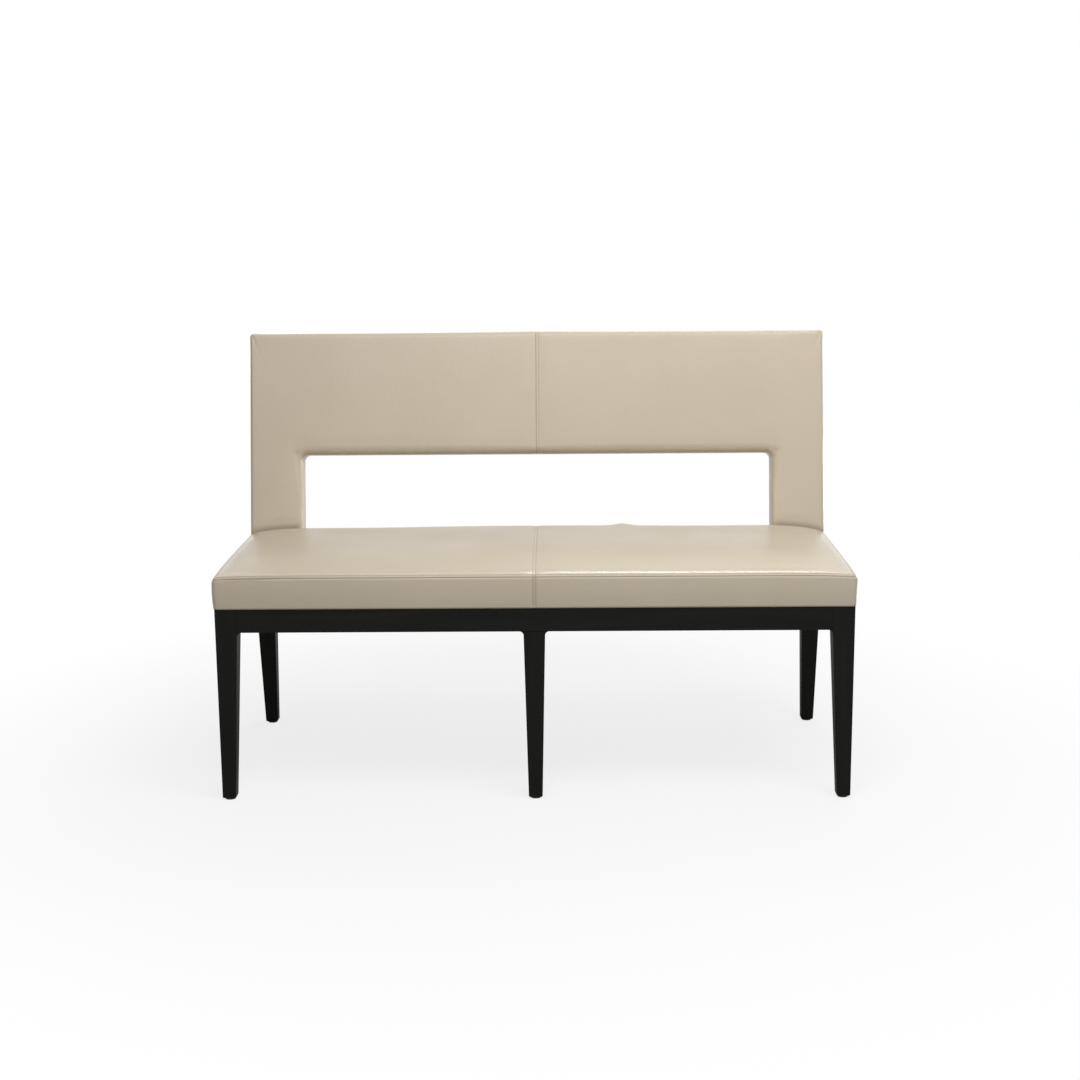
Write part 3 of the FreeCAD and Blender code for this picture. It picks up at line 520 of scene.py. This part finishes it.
# painted contact shadow: darkest against the back's face beside the window, fading over about 12 mm in front of it
painted_crevice_shade = 0.7 * beside_window * bell(np.maximum(gap, 0), 12 * MM)
set_attribute(seat_pad, "seam", np.maximum.reduce([seam_shade, 0.25 * puckers / MM, painted_crevice_shade]))
set_attribute(seat_pad, "stretch", front_or_side * bell(edge_gap - WELT - 7 * MM, 9 * MM))
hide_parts("seat_foam", "seat_top_left", "seat_top_right", "seat_border_left", "seat_border_right")

# %% [markdown]
# ## The back pad
# The back is one upholstered frame: leather wraps its front, its sides, its top and the window's reveals, and a flat
# panel closes it from behind. A box with a hole would need a boolean cut and bevels that meet badly in the corners. As
# a ring it is simple: an outline loop and a window loop with shared stations, and a closed profile that goes round the
# outer edge, over the face, round the window's edge and along the rear. The finished form is leaned back by 10 degrees.

# %% Back sizes
BACK_TOP, BACK_LOW = 477.2 * MM, -67.0 * MM  # up the face, from the height of the seat's edge
BACK_THICK, REAR_ROUND = 66.4 * MM, 6 * MM
FACE_FALL, FACE_MIDDLE, FACE_HALF = 6 * MM, 205.1 * MM, 272.1 * MM  # the face falls back above and below its middle
WINDOW_TOP, WINDOW_SILL, WINDOW_HALF = 189.4 * MM, -16.25 * MM, 552.5 * MM
WINDOW_CORNER = 14 * MM
OUTLINE_ROUNDS = np.array([2, 7, 7]) * MM  # rounding of the front edge at the foot, the sides and the top
WINDOW_ROUNDS = np.array([9, 9, 21]) * MM  # and around the window: sill, sides and the panel above it


def lean(x, depth, height):
    """Turns depth behind the face and height up the face by the rake, and sets them over the seat's rear edge."""
    cos, sin = math.cos(RAKE), math.sin(RAKE)
    return np.stack([x, FRONT + BACK_FACE + depth * cos + height * sin, SEAT_EDGE + height * cos - depth * sin], -1)


print("back's top at", lean(0.0, 0.0, BACK_TOP).round(4))

# %% Back profile
def back_rows(edge, face, reveal, rear):
    """Rows of the back's closed profile: share from outline to window, share of the front rounding in the inset and in
    the depth, inset and rise of the rear rounding, share from front to rear, and a running number from 0 to 8."""
    turn = np.radians(np.linspace(0, 90, edge + 1))
    rear_turn = np.radians(np.linspace(0, 90, 6))
    q = np.linspace(0, 1, face + 1)[1:-1]
    q = q - 0.12 * np.sin(2 * np.pi * q) / np.pi
    side = np.linspace(0, 1, reveal + 2)[1:-1]
    across = np.linspace(0, 1, rear + 1)[1:-1]
    bend, fall = 1 - np.cos(turn), 1 - np.sin(turn)
    rear_bend, rear_fall = REAR_ROUND * (1 - np.cos(rear_turn)), REAR_ROUND * (1 - np.sin(rear_turn))
    columns, counts = join_stages([
        (0, bend, fall, 0, 0, 0),
        (q, 1, 0, 0, 0, 0),
        (1, bend[::-1], fall[::-1], 0, 0, 0),
        (1, 0, 1, 0, REAR_ROUND, side),
        (1, 0, 1, rear_bend, rear_fall, 1),
        (1 - across, 0, 1, REAR_ROUND, 0, 1),
        (0, 0, 1, rear_bend[::-1], rear_fall[::-1], 1),
        (0, 0, 1, 0, REAR_ROUND, side[::-1]),
    ])
    return (*columns, np.concatenate([k + np.arange(n) / n for k, n in enumerate(counts)]))


def roundings(stations, sizes, start):
    """Rounding at each station: it grows up the sides from a share start, so that the top corners have one size."""
    low, side, top = sizes
    climb = smooth_step((stations.place_y - start) / (1 - start))
    return np.where(stations.push_y < 0, side - stations.push_y * (low - side), side + climb * (top - side))


def back_form(outline, window, rows):
    """Points of the back: between the two loops, as deep as the crowned face or the rear, with a level foot."""
    share, bend, fall, rear_bend, rear_fall, to_rear, _ = (r[None, :] for r in rows)
    foot = smooth_step((-outline.place_y - 0.9) / 0.1)
    outer = roundings(outline, OUTLINE_ROUNDS, 0.5)
    inner = roundings(window, WINDOW_ROUNDS, 0.0)
    inset = outer * bend + rear_bend * (1 - 0.8 * foot)
    corner = 10 * MM * (1 - foot) + 2 * MM * foot
    radius = np.maximum(corner - inset, 0.3 * MM) + 0.3 * inset
    xo, vo = outline.loop(SEAT_HALF - inset, BACK_LOW + inset, BACK_TOP - inset, radius)
    inset = inner * bend + rear_bend
    xi, vi = window.loop(WINDOW_HALF + inset, WINDOW_SILL - inset, WINDOW_TOP + inset, WINDOW_CORNER + inset)
    x, v = xo + share * (xi - xo), vo + share * (vi - vo)
    face = FACE_FALL * ((v - FACE_MIDDLE) / FACE_HALF) ** 2
    rounding = outer + share * (inner - outer)
    depth = (1 - to_rear) * (face + rounding * fall) + to_rear * (BACK_THICK - rear_fall)
    v = v + depth * math.tan(RAKE) * smooth_step((-v - 10 * MM) / (57 * MM))
    return x, depth, v


# %% [markdown]
# ## Letting the hide swell
# Leather on a back is pulled tight over thin foam and swells where nothing holds it. Shaping that by hand gives a
# moulded look, so a coarse copy of the pad is blown up by Blender's cloth solver with its seams pinned. The solver's
# movement is capped, read back as a grid and carried over to the fine grid with cubic B-spline weights, which keep it
# smooth.

# %% Swelling
CLOTH = {
    "use_pressure": True, "quality": 6, "mass": 0.6, "air_damping": 4, "tension_stiffness": 30,
    "compression_stiffness": 30, "shear_stiffness": 12, "bending_stiffness": 4, "vertex_group_mass": "held",
}
LAST_FRAME = 16
ONCE_ROUND = 8.0  # the running numbers of stations and of the back's rows start again here


def spline_weights(fine, coarse):
    """For each fine place on a closed line, its four cubic B-spline weights on the coarse places, as a matrix."""
    count = len(coarse)
    places = np.concatenate([coarse, coarse[:1] + ONCE_ROUND])
    index = np.interp(np.where(fine < coarse[0], fine + ONCE_ROUND, fine), places, np.arange(count + 1))
    base = np.floor(index).astype(int)
    f = index - base
    weights = np.zeros((len(fine), count))
    parts = ((1 - f) ** 3, 3 * f**3 - 6 * f**2 + 4, -3 * f**3 + 3 * f**2 + 3 * f + 1, f**3)
    for offset, part in enumerate(parts):
        np.add.at(weights, (np.arange(len(fine)), (base + offset - 1) % count), part / 6)
    return weights


def swelling(name, grid, faces, pinned, pressure, cap):
    """Movement of a coarse grid under pressure, as an array of the grid's shape, no longer than cap."""
    piece = new_piece(name, grid, faces)
    held = piece.vertex_groups.new(name="held")
    flat = pinned.ravel()
    for level in np.unique(flat[flat > 0]):
        held.add(np.flatnonzero(flat == level).tolist(), float(level), "REPLACE")
    cloth = piece.modifiers.new("swell", "CLOTH").settings
    for key, value in CLOTH.items():
        setattr(cloth, key, value)
    cloth.uniform_pressure_force = pressure
    cloth.effector_weights.gravity = 0
    for number in range(1, LAST_FRAME + 1):
        scene.frame_set(number)
    done = piece.evaluated_get(bpy.context.evaluated_depsgraph_get()).to_mesh()
    moved = np.empty(len(done.vertices) * 3, np.float32)
    done.vertices.foreach_get("co", moved)
    moved = moved.reshape(grid.shape).astype(float) - grid
    length = np.linalg.norm(moved, axis=-1, keepdims=True)
    moved *= np.tanh(length / cap) * cap / np.maximum(length, 1e-9)
    bpy.data.objects.remove(piece)
    scene.frame_set(1)
    print(name, "swelled by", np.round(1000 * np.linalg.norm(moved, axis=-1).max(), 2), "mm at most")
    return moved


# %% Back grids
def back_stations(seam_steps, edge, side, arc):
    """Outline and window stations: near the centre seam both have the same x, so the seam runs straight up."""
    ends = SEAT_HALF - 14 * MM, WINDOW_HALF - WINDOW_CORNER
    pair = [shares_from(edge_steps(end, seam_steps, edge)) for end in ends]
    sides = shares_from(np.linspace(0, 1, side + 1)[1:])
    return [Stations(shares, sides, arc) for shares in pair]


back_fine = back_stations(SEAM_STEPS, 100, 38, 6)
back_coarse = back_stations(np.array([20 * MM]), 28, 12, 3)
fine_rows, coarse_rows = back_rows(13, 56, 8, 20), back_rows(4, 12, 3, 6)
x, depth, v = back_form(*back_coarse, coarse_rows)
number = coarse_rows[6][None, :]
firm = (number >= 2.6) & (number < 7.0) | (back_coarse[0].place_y < -0.8)  # reveals, rear and foot
seam_line = (np.abs(x) < 1 * MM) & (number < 3)
pinned = np.where(firm, 1.0, np.where(seam_line, 0.7, 0.0))
coarse_faces = [ring_quads(*pinned.shape, True)]
moved = swelling("back_swell", lean(x, depth, v), coarse_faces, pinned, 1.2, 2.5 * MM)
along = spline_weights(back_fine[0].path, back_coarse[0].path)
across = spline_weights(fine_rows[6], coarse_rows[6])
x, depth, v = back_form(*back_fine, fine_rows)
back_grid = lean(x, depth, v) + np.einsum("ij,jkc,lk->ilc", along, moved, across)
print("back box", back_grid.min((0, 1)).round(4), back_grid.max((0, 1)).round(4))

# %% Seams of the back
BACK_STITCH = 5.8 * MM  # distance of the sewn line from the centre seam
number = fine_rows[6][None, :]
front_cover = smooth_step((3.9 - number) / 0.3)
rear_panel = smooth_step((number - 5.0) * 8) * smooth_step((6.0 - number) * 8)
on_panels = np.maximum(front_cover, rear_panel)
stitched = bell(x - BACK_STITCH, LINE)
middle = bell(x, LINE) * 0.8 * MM + bell(x - 3 * MM, 8 * MM) * 0.6 * MM + stitched * 0.45 * MM
rear_joint = bell(number - 4.98, 0.03) + bell(number - 6.02, 0.03)
seam_lines = np.maximum(0.55 * bell(x, 0.8 * MM), 0.18 * stitched)
seam_shade = np.maximum(seam_lines * on_panels, 0.5 * rear_joint)
print("seam of the back", round(1000 * middle.max(), 2), "mm deep")

# %% Creases of the back
CREASES = (  # x, height and depth behind the face of both ends, how deep and how wide, in millimetres
    ((550.5, 191.4, 1), (576.5, 198.4, 1), 1.2, 3), ((550.5, 193.4, 1), (565.5, 209.4, 1), 0.5, 3),
    ((640, 30, 3), (580, 44, 2), 0.35, 5), ((610, 28, 3), (565, 38, 2), 0.3, 5),
)
creases = np.zeros_like(x)
for side in (-1, 1):
    for *ends, deep, width in CREASES:
        start, end = (lean(side * at * MM, behind * MM, height * MM) for at, height, behind in ends)
        creases += deep * MM * crease(back_grid, start, end, width * MM)
print("creases", round(1000 * creases.max(), 2), "mm deep")

# %% Back pad
back_grid = press(back_grid, middle * on_panels + rear_joint * 1.0 * MM + creases, True)
back_faces = [ring_quads(*back_grid.shape[:2], True)]
back_pad = new_piece("back_pad", back_grid, back_faces, cream_leather)
contact = (seat_crown(x, REAR_LINE) - SEAT_EDGE) / math.cos(RAKE)  # where the seat meets the face
# Painted shade: a contact shadow on the uprights just above where the seat meets them, fading over 9 mm, plus darker
# seam grooves and creases, in the "seam" attribute
on_upright = smooth_step((np.abs(x) - WINDOW_HALF + 4 * MM) / (20 * MM)) * smooth_step(number / 0.8) * (number < 2.5)
painted_tuck_shade = 0.42 * on_upright * bell(np.maximum(v - contact, 0), 9 * MM)
set_attribute(back_pad, "seam", np.maximum.reduce([seam_shade, 0.22 * creases / MM, painted_tuck_shade]))
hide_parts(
    "back_foam_left", "back_foam_right", "back_foam_sill", "back_foam_top",
    "back_cover_left", "back_cover_right", "back_rear_panel_left", "back_rear_panel_right",
)

# %% [markdown]
# ## Stitches
# A row of topstitching runs beside each seam. A texture could fake it, but close up each stitch is a short length of
# thread that sinks into the hide at both ends. One stitch is a small tube of six sides; the whole row is that tube
# carried to evenly spaced places along a line of the pad's own grid, all in one array.

# %% Stitch rows
SIDES, RINGS = 6, 5
STITCH = np.array([  # for each ring: share of half the length, share of the radius, and rise in radii
    [-1, 0.45, -0.9], [-0.75, 0.9, -0.1], [0, 1, 0.15], [0.75, 0.9, -0.1], [1, 0.45, -0.9],
])


def unit(vectors):
    """Vectors divided by their lengths."""
    return vectors / np.linalg.norm(vectors, axis=-1, keepdims=True)


def stitch_row(name, line, normals, material=thread, pitch=5 * MM, length=3.6 * MM,
               radius=0.45 * MM):
    """Tubes of five rings and six sides, placed every pitch along a line and laid half into the surface."""
    run = run_along(line)
    places = np.arange(pitch, run[-1] - pitch / 2, pitch)

    def at(where, values):
        """Values of the line's points, read off at some lengths along it."""
        return np.stack([np.interp(where, run, column) for column in values.T], 1)

    centre, up = at(places, line), at(places, normals)
    along = unit(at(places + pitch / 4, line) - centre)
    up = unit(up - along * (up * along).sum(1, keepdims=True))
    across = np.cross(along, up)
    centre, along, up, across = (v[:, None, None, :] for v in (centre, along, up, across))
    share, thick, rise = STITCH.T[:, :, None, None]
    angle = (np.arange(SIDES) * math.pi / 3)[None, :, None]
    ring = thick * radius * (np.cos(angle) * across + np.sin(angle) * up)
    points = ring + (centre + share * length / 2 * along + rise * radius * up)
    first = (np.arange(len(places)) * RINGS * SIDES)[:, None, None]
    r, a = np.arange(RINGS - 1)[None, :, None] * SIDES, np.arange(SIDES)[None, None, :]
    b = (a + 1) % SIDES
    quads = np.stack([first + r + a, first + r + SIDES + a, first + r + SIDES + b, first + r + b], -1).reshape(-1, 4)
    cap = first[:, :, 0] + np.arange(SIDES)
    caps = np.concatenate([cap, cap[:, ::-1] + (RINGS - 1) * SIDES])
    return new_piece(name, points, [quads, caps], material)


def seam_station(stations, distance, high_edge):
    """Number of the station at a distance to the right of the centre seam, on the low edge or on the high edge."""
    steps = int(np.argmin(np.abs(SEAM_STEPS - distance))) + 1
    middle = stations.edge // 2
    return stations.first_high + middle - steps if high_edge else middle + steps


# %% Stitches of the back
cover = np.flatnonzero(fine_rows[6] < 3.0)[4:-4]
station = seam_station(back_fine[0], BACK_STITCH, True)
stitch_row("back_stitches", back_grid[station, cover], grid_normals(back_grid, True)[station, cover])

# %% Stitches of the seat
both = np.concatenate([seat_grid, grid_normals(seat_grid, False)], -1)  # places and normals
front, rear = (seam_station(seat_loop, SEAT_STITCH, high_edge) for high_edge in (False, True))
over_top = np.concatenate([both[front, seam_row + 8 :], both[rear, :seam_row:-1]])
down_border = both[front, 16 : seam_row - 6]
ends = seat_loop.first_left, seat_loop.first_left + seat_loop.count - seat_loop.edge - 2 * seat_loop.arc
welt_row = int(np.argmin(np.abs(edge_run - edge_run[seam_row] - WELT / 2)))
round_front = both[np.arange(*ends) % seat_loop.count, welt_row]
for name, line in (("seat", over_top), ("border", down_border), ("edge", round_front)):
    stitch_row(name + "_stitches", line[:, :3], line[:, 3:])

# %% [markdown]
# ## The dust cover
# Under the frame a thin black cloth keeps dust out of the upholstery. It is stapled to the cross rails and cut around
# the legs. A flat plate would look like card, so it is a grid that sags a little between its fixings, with the leg cuts
# left out of the grid and a thickness from a Solidify modifier.

# %% Height of the dust cover
low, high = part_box("dust_cover")
rails = ["cross_rail_left", "cross_rail_centre", "cross_rail_right"]
rail_x = [sum(corner.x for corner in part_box(name)) / 2 for name in rails]
supports = np.array([low.x, *rail_x, high.x])
SAG = 4 * MM


def cloth_height(x, y):
    """Height of the cloth: it sags by 4 mm in half sine waves between the rails and between front and rear."""
    bay = np.clip(np.searchsorted(supports, x, "right") - 1, 0, len(supports) - 2)
    wide = (x - supports[bay]) / (supports[bay + 1] - supports[bay])
    deep = (y - low.y) / (high.y - low.y)
    sag = np.sin(np.pi * np.clip(wide, 0, 1)) * np.sin(np.pi * np.clip(deep, 0, 1))
    return low.z - 0.1 * MM - SAG * np.maximum(sag, 0) ** 0.8


print("supports at", supports.round(3))

# %% Dust cover
ROOM = 2 * MM  # between the cloth and a leg
leg_high, centre_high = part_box("front_leg_left")[1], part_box("front_leg_centre")[1]
side_cut, centre_cut = -leg_high.x - ROOM, centre_high.x + ROOM
cut_front, cut_centre = leg_high.y + ROOM, centre_high.y + ROOM
cut_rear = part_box("rear_rail")[0].y - 26 * MM
xs = np.unique(np.concatenate([np.linspace(low.x, high.x, 90), [side_cut, -side_cut, centre_cut, -centre_cut]]))
ys = np.unique(np.concatenate([np.linspace(low.y, high.y, 36), [cut_front, cut_rear, cut_centre]]))
gx, gy = np.meshgrid(xs, ys, indexing="ij")
mx, my = ((corner[:-1, :-1] + corner[1:, 1:]) / 2 for corner in (gx, gy))  # middles of the cells
cut = (np.abs(mx) > side_cut) & ((my < cut_front) | (my > cut_rear)) | (np.abs(mx) < centre_cut) & (my < cut_centre)
i, j = np.nonzero(~cut)
wide = len(ys)
cells = np.stack([i * wide + j, i * wide + j + 1, (i + 1) * wide + j + 1, (i + 1) * wide + j], 1)
used, cells = np.unique(cells, return_inverse=True)
cloth_points = np.stack([gx, gy, cloth_height(gx, gy)], -1).reshape(-1, 3)[used]
dust_sheet = new_piece("dust_sheet", cloth_points, [cells.reshape(-1, 4)], dust_cloth)
wall = dust_sheet.modifiers.new("cloth thickness", "SOLIDIFY")
wall.thickness, wall.offset = 0.5 * MM, 0
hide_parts("dust_cover")

# %% Staples
depths = np.linspace(cut_centre + 10 * MM, high.y - 10 * MM, 60)
downwards = np.tile([0.0, 0.0, -1.0], (len(depths), 1))
for name, at in zip(rails, rail_x):
    rail = np.full(len(depths), at)
    line = np.stack([rail, depths, cloth_height(rail, depths) - 0.25 * MM], 1)
    stitch_row("staples_" + name, line, downwards, zinc_steel, 38 * MM, 11 * MM, 0.5 * MM)

# %% [markdown]
# ## Coves under the rails
# Where a rail meets a leg, the inner corner isn't sharp: a small hollow fillet eases it. A bevel on the timber would
# need the two parts joined first, so each fillet is a piece of its own, a quarter circle hollowed out of a small prism
# and sunk into both timbers. All ten are worked out as one array, from the boxes of the rails and legs.

# %% Coves
COVE, SUNK = 9 * MM, 1 * MM  # radius of the hollow, and how far its corner is sunk into the timber
ARC = 9  # points round the hollow


def coves(name, corners, along, down, across):
    """Prisms: corner + along * r (1 - sin t) + down * r (1 - cos t) for t from 0 to 90 degrees, plus a corner that is
    sunk into the timber, carried from one end of across to the other."""
    along, down = unit(along), unit(down)
    turned = np.einsum("ij,ij->i", np.cross(along, down), across)[:, None] < 0  # these are carried the other way
    corners, across = np.where(turned, corners + across, corners), np.where(turned, -across, across)
    t = np.radians(np.linspace(0, 90, ARC))
    a, d = COVE * (1 - np.sin(t)), COVE * (1 - np.cos(t))
    a, d = (np.concatenate([[-SUNK], part])[None, :, None] for part in (a, d))
    ring = corners[:, None, :] + a * along[:, None, :] + d * down[:, None, :]
    points = np.stack([ring, ring + across[:, None, :]], 1)
    size = ARC + 1
    first = (np.arange(len(corners)) * 2 * size)[:, None]
    k = np.arange(size)[None, :]
    k1 = (k + 1) % size
    sides = np.stack([first + k, first + k1, first + size + k1, first + size + k], -1).reshape(-1, 4)
    k = np.arange(1, ARC)[None, :]
    far = np.stack([first + size + 0 * k, first + size + k, first + size + 1 + k], -1).reshape(-1, 3)
    near = np.stack([first + 0 * k, first + 1 + k, first + k], -1).reshape(-1, 3)
    piece = new_piece(name, points, [sides, far, near], stained_timber[0])
    piece.data.set_sharp_from_angle(angle=math.radians(40))


# %% Places of the coves
EASE = 1.5 * MM  # the rails' and legs' own eased edges
TAPER, KICK = 17 / 364, 80 / 364  # slope of the legs' inner faces, and of the rear legs' front faces
front_low, front_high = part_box("front_rail")
rear_low, rear_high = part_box("rear_rail")
side_low, side_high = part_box("side_rail_left")
front_y, rear_y, side_x = front_low.y + EASE, rear_low.y + EASE, side_low.x + EASE
front_wide, rear_wide = front_high.y - front_low.y - 2 * EASE, rear_high.y - rear_low.y - 2 * EASE
side_wide = side_high.x - side_low.x - 2 * EASE
places = []
for s in (1, -1):
    places += [  # x and y of the corner, of the way along the rail, of the slope down the leg and of the carry
        ((s * leg_high.x, front_y), (s, 0), (-s * TAPER, 0), (0, front_wide)),
        ((s * centre_high.x, front_y), (s, 0), (-s * TAPER / 2, 0), (0, front_wide)),
        ((s * leg_high.x, rear_y), (s, 0), (-s * TAPER, KICK), (0, rear_wide)),
        ((s * side_x, leg_high.y), (0, 1), (0, -TAPER), (s * side_wide, 0)),
        ((s * side_x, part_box("rear_leg_left")[0].y), (0, -1), (0, KICK), (s * side_wide, 0)),
    ]
heights = (front_low.z, 0, -1, 0)
placed = np.array([[(*pair, height) for pair, height in zip(place, heights)] for place in places], float)
coves("leg_coves", *placed.transpose(1, 0, 2))

# %% [markdown]
# ## The CAD nodes
# Legs, rails, blocks, boards, screws and glides keep their CAD shape. Each gets the finish of its record slot, and
# timber gets the one whose fibres run along the piece's longest side, as a joiner cuts it.

# %% Finishes of the CAD nodes
plain = {
    "plywood": plywood, "zinc_steel": zinc_steel, "nylon": nylon,
    "cream_leather": cream_leather, "foam": dust_cloth, "dust_cloth": dust_cloth,
}
timbers = {"stained_timber": stained_timber, "frame_timber": frame_timber}
for name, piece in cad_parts.items():
    low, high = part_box(name)
    axis = int(np.argmax(np.array(high) - np.array(low)))
    for place in piece.material_slots:
        slot = place.material.name.split(".")[0]
        place.material = timbers[slot][axis] if slot in timbers else plain[slot]
print("finished nodes", len(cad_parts))

# %% [markdown]
# ## Floor, light and camera
# The bench stands on a plain pale floor under a large soft light from above and in front. A small light behind it,
# which the back hides from most of the seat, draws a sheen along the front edge, a weak one from the right brightens
# the window's reveal, and a low one behind shows the rear. The floor and the world look white to the camera but give
# off less light than that. The camera's place comes from the photograph's own vanishing lines: a 57 mm lens, 1.25 m
# up, looking 11 degrees down.

# %% Floor
def shown_rays(tree):
    """1 for rays from the camera, off a gloss or through glass and 0 for other light, and the camera's rays alone."""
    ray = tree.nodes.new("ShaderNodeLightPath").outputs
    seen = maths(tree, "MAXIMUM", ray["Is Camera Ray"], ray["Is Glossy Ray"])
    return maths(tree, "MAXIMUM", seen, ray["Is Transmission Ray"]), ray["Is Camera Ray"]


floor_finish, tree, shader, place = new_finish("floor", (0.9, 0.9, 0.9, 1), 0.9, specular=0.0)
shown, by_camera = shown_rays(tree)
floor_colour = blend_colours(tree, shown, (0.4, 0.39, 0.375, 1), (0.95, 0.95, 0.95, 1))
tree.links.new(floor_colour, shader.inputs["Base Color"])
away = add_node(tree, "ShaderNodeVectorMath", {"operation": "LENGTH"}, {0: place}).outputs["Value"]
fade = spread(tree, away, 0.6, 1.7, maths(tree, "MULTIPLY", by_camera, 0.78), 1.0, "SMOOTHSTEP")
veil = maths(tree, "MULTIPLY", shown, fade)
glow = add_node(tree, "ShaderNodeEmission", None, {"Color": (1, 1, 1, 1), "Strength": 1.0})
mix = add_node(tree, "ShaderNodeMixShader", None, {0: veil, 1: shader.outputs[0], 2: glow.outputs[0]})
tree.links.new(mix.outputs[0], tree.nodes["Material Output"].inputs["Surface"])
FLOOR_REACH = 40.0
floor_points = FLOOR_REACH * np.array([(-1, -1, 0), (1, -1, 0), (1, 1, 0), (-1, 1, 0)])
floor = new_piece("floor", floor_points, [np.array([[0, 1, 2, 3]])])
floor.data.materials.append(floor_finish)

# %% World
world = bpy.data.worlds.new("studio")
scene.world = world
world.use_nodes = True
sky = world.node_tree.nodes["Background"].inputs
sky["Color"].default_value = (1, 1, 1, 1)
shown, _ = shown_rays(world.node_tree)
world.node_tree.links.new(spread(world.node_tree, shown, 0.0, 1.0, 0.25, 1.0), sky["Strength"])

# %% Light
def soft_light(name, place, target, wide, deep, power):
    """A rectangular area light that faces a target."""
    lamp = bpy.data.lights.new(name, "AREA")
    lamp.shape, lamp.size, lamp.size_y, lamp.energy = "RECTANGLE", wide, deep, power
    holder = bpy.data.objects.new(name, lamp)
    holder.location = place
    holder.rotation_euler = (Vector(target) - Vector(place)).to_track_quat("-Z", "Y").to_euler()
    scene.collection.objects.link(holder)


soft_light("key", (0.5, -1.4, 2.45), (0.05, 0.1, 0.6), 2.4, 1.2, 44)
soft_light("rim", (0.62, 1.5, 2.3), (0.35, -0.25, 0.49), 1.3, 0.22, 8)
soft_light("side", (2.2, 0.7, 1.2), (0, 0.1, 0.6), 1.0, 1.0, 3.5)
soft_light("rear", (1.9, 2.0, 0.25), (0, 0.3, 0.7), 0.8, 0.3, 16)
print("lights", len(bpy.data.lights))

# %% Camera
PITCH, YAW, ROLL = (math.radians(a) for a in (11.198, -0.7794, -0.4862))
forward = Vector((math.sin(YAW) * math.cos(PITCH), math.cos(YAW) * math.cos(PITCH), -math.sin(PITCH)))
level = Vector((math.cos(YAW), -math.sin(YAW), 0))
upright = level.cross(forward)
right = math.cos(ROLL) * level + math.sin(ROLL) * upright
up = math.cos(ROLL) * upright - math.sin(ROLL) * level
lens = bpy.data.cameras.new("camera")
lens.sensor_fit, lens.sensor_width, lens.lens = "HORIZONTAL", 36.0, 57.23
camera = bpy.data.objects.new("camera", lens)
place = Matrix((right, up, -forward)).transposed().to_4x4()
place.translation = (0.0612, -3.7989, 1.2563)
camera.matrix_world = place
scene.collection.objects.link(camera)
scene.camera = camera
scene.view_settings.view_transform = "Standard"
print("camera", tuple(round(c, 4) for c in camera.location))
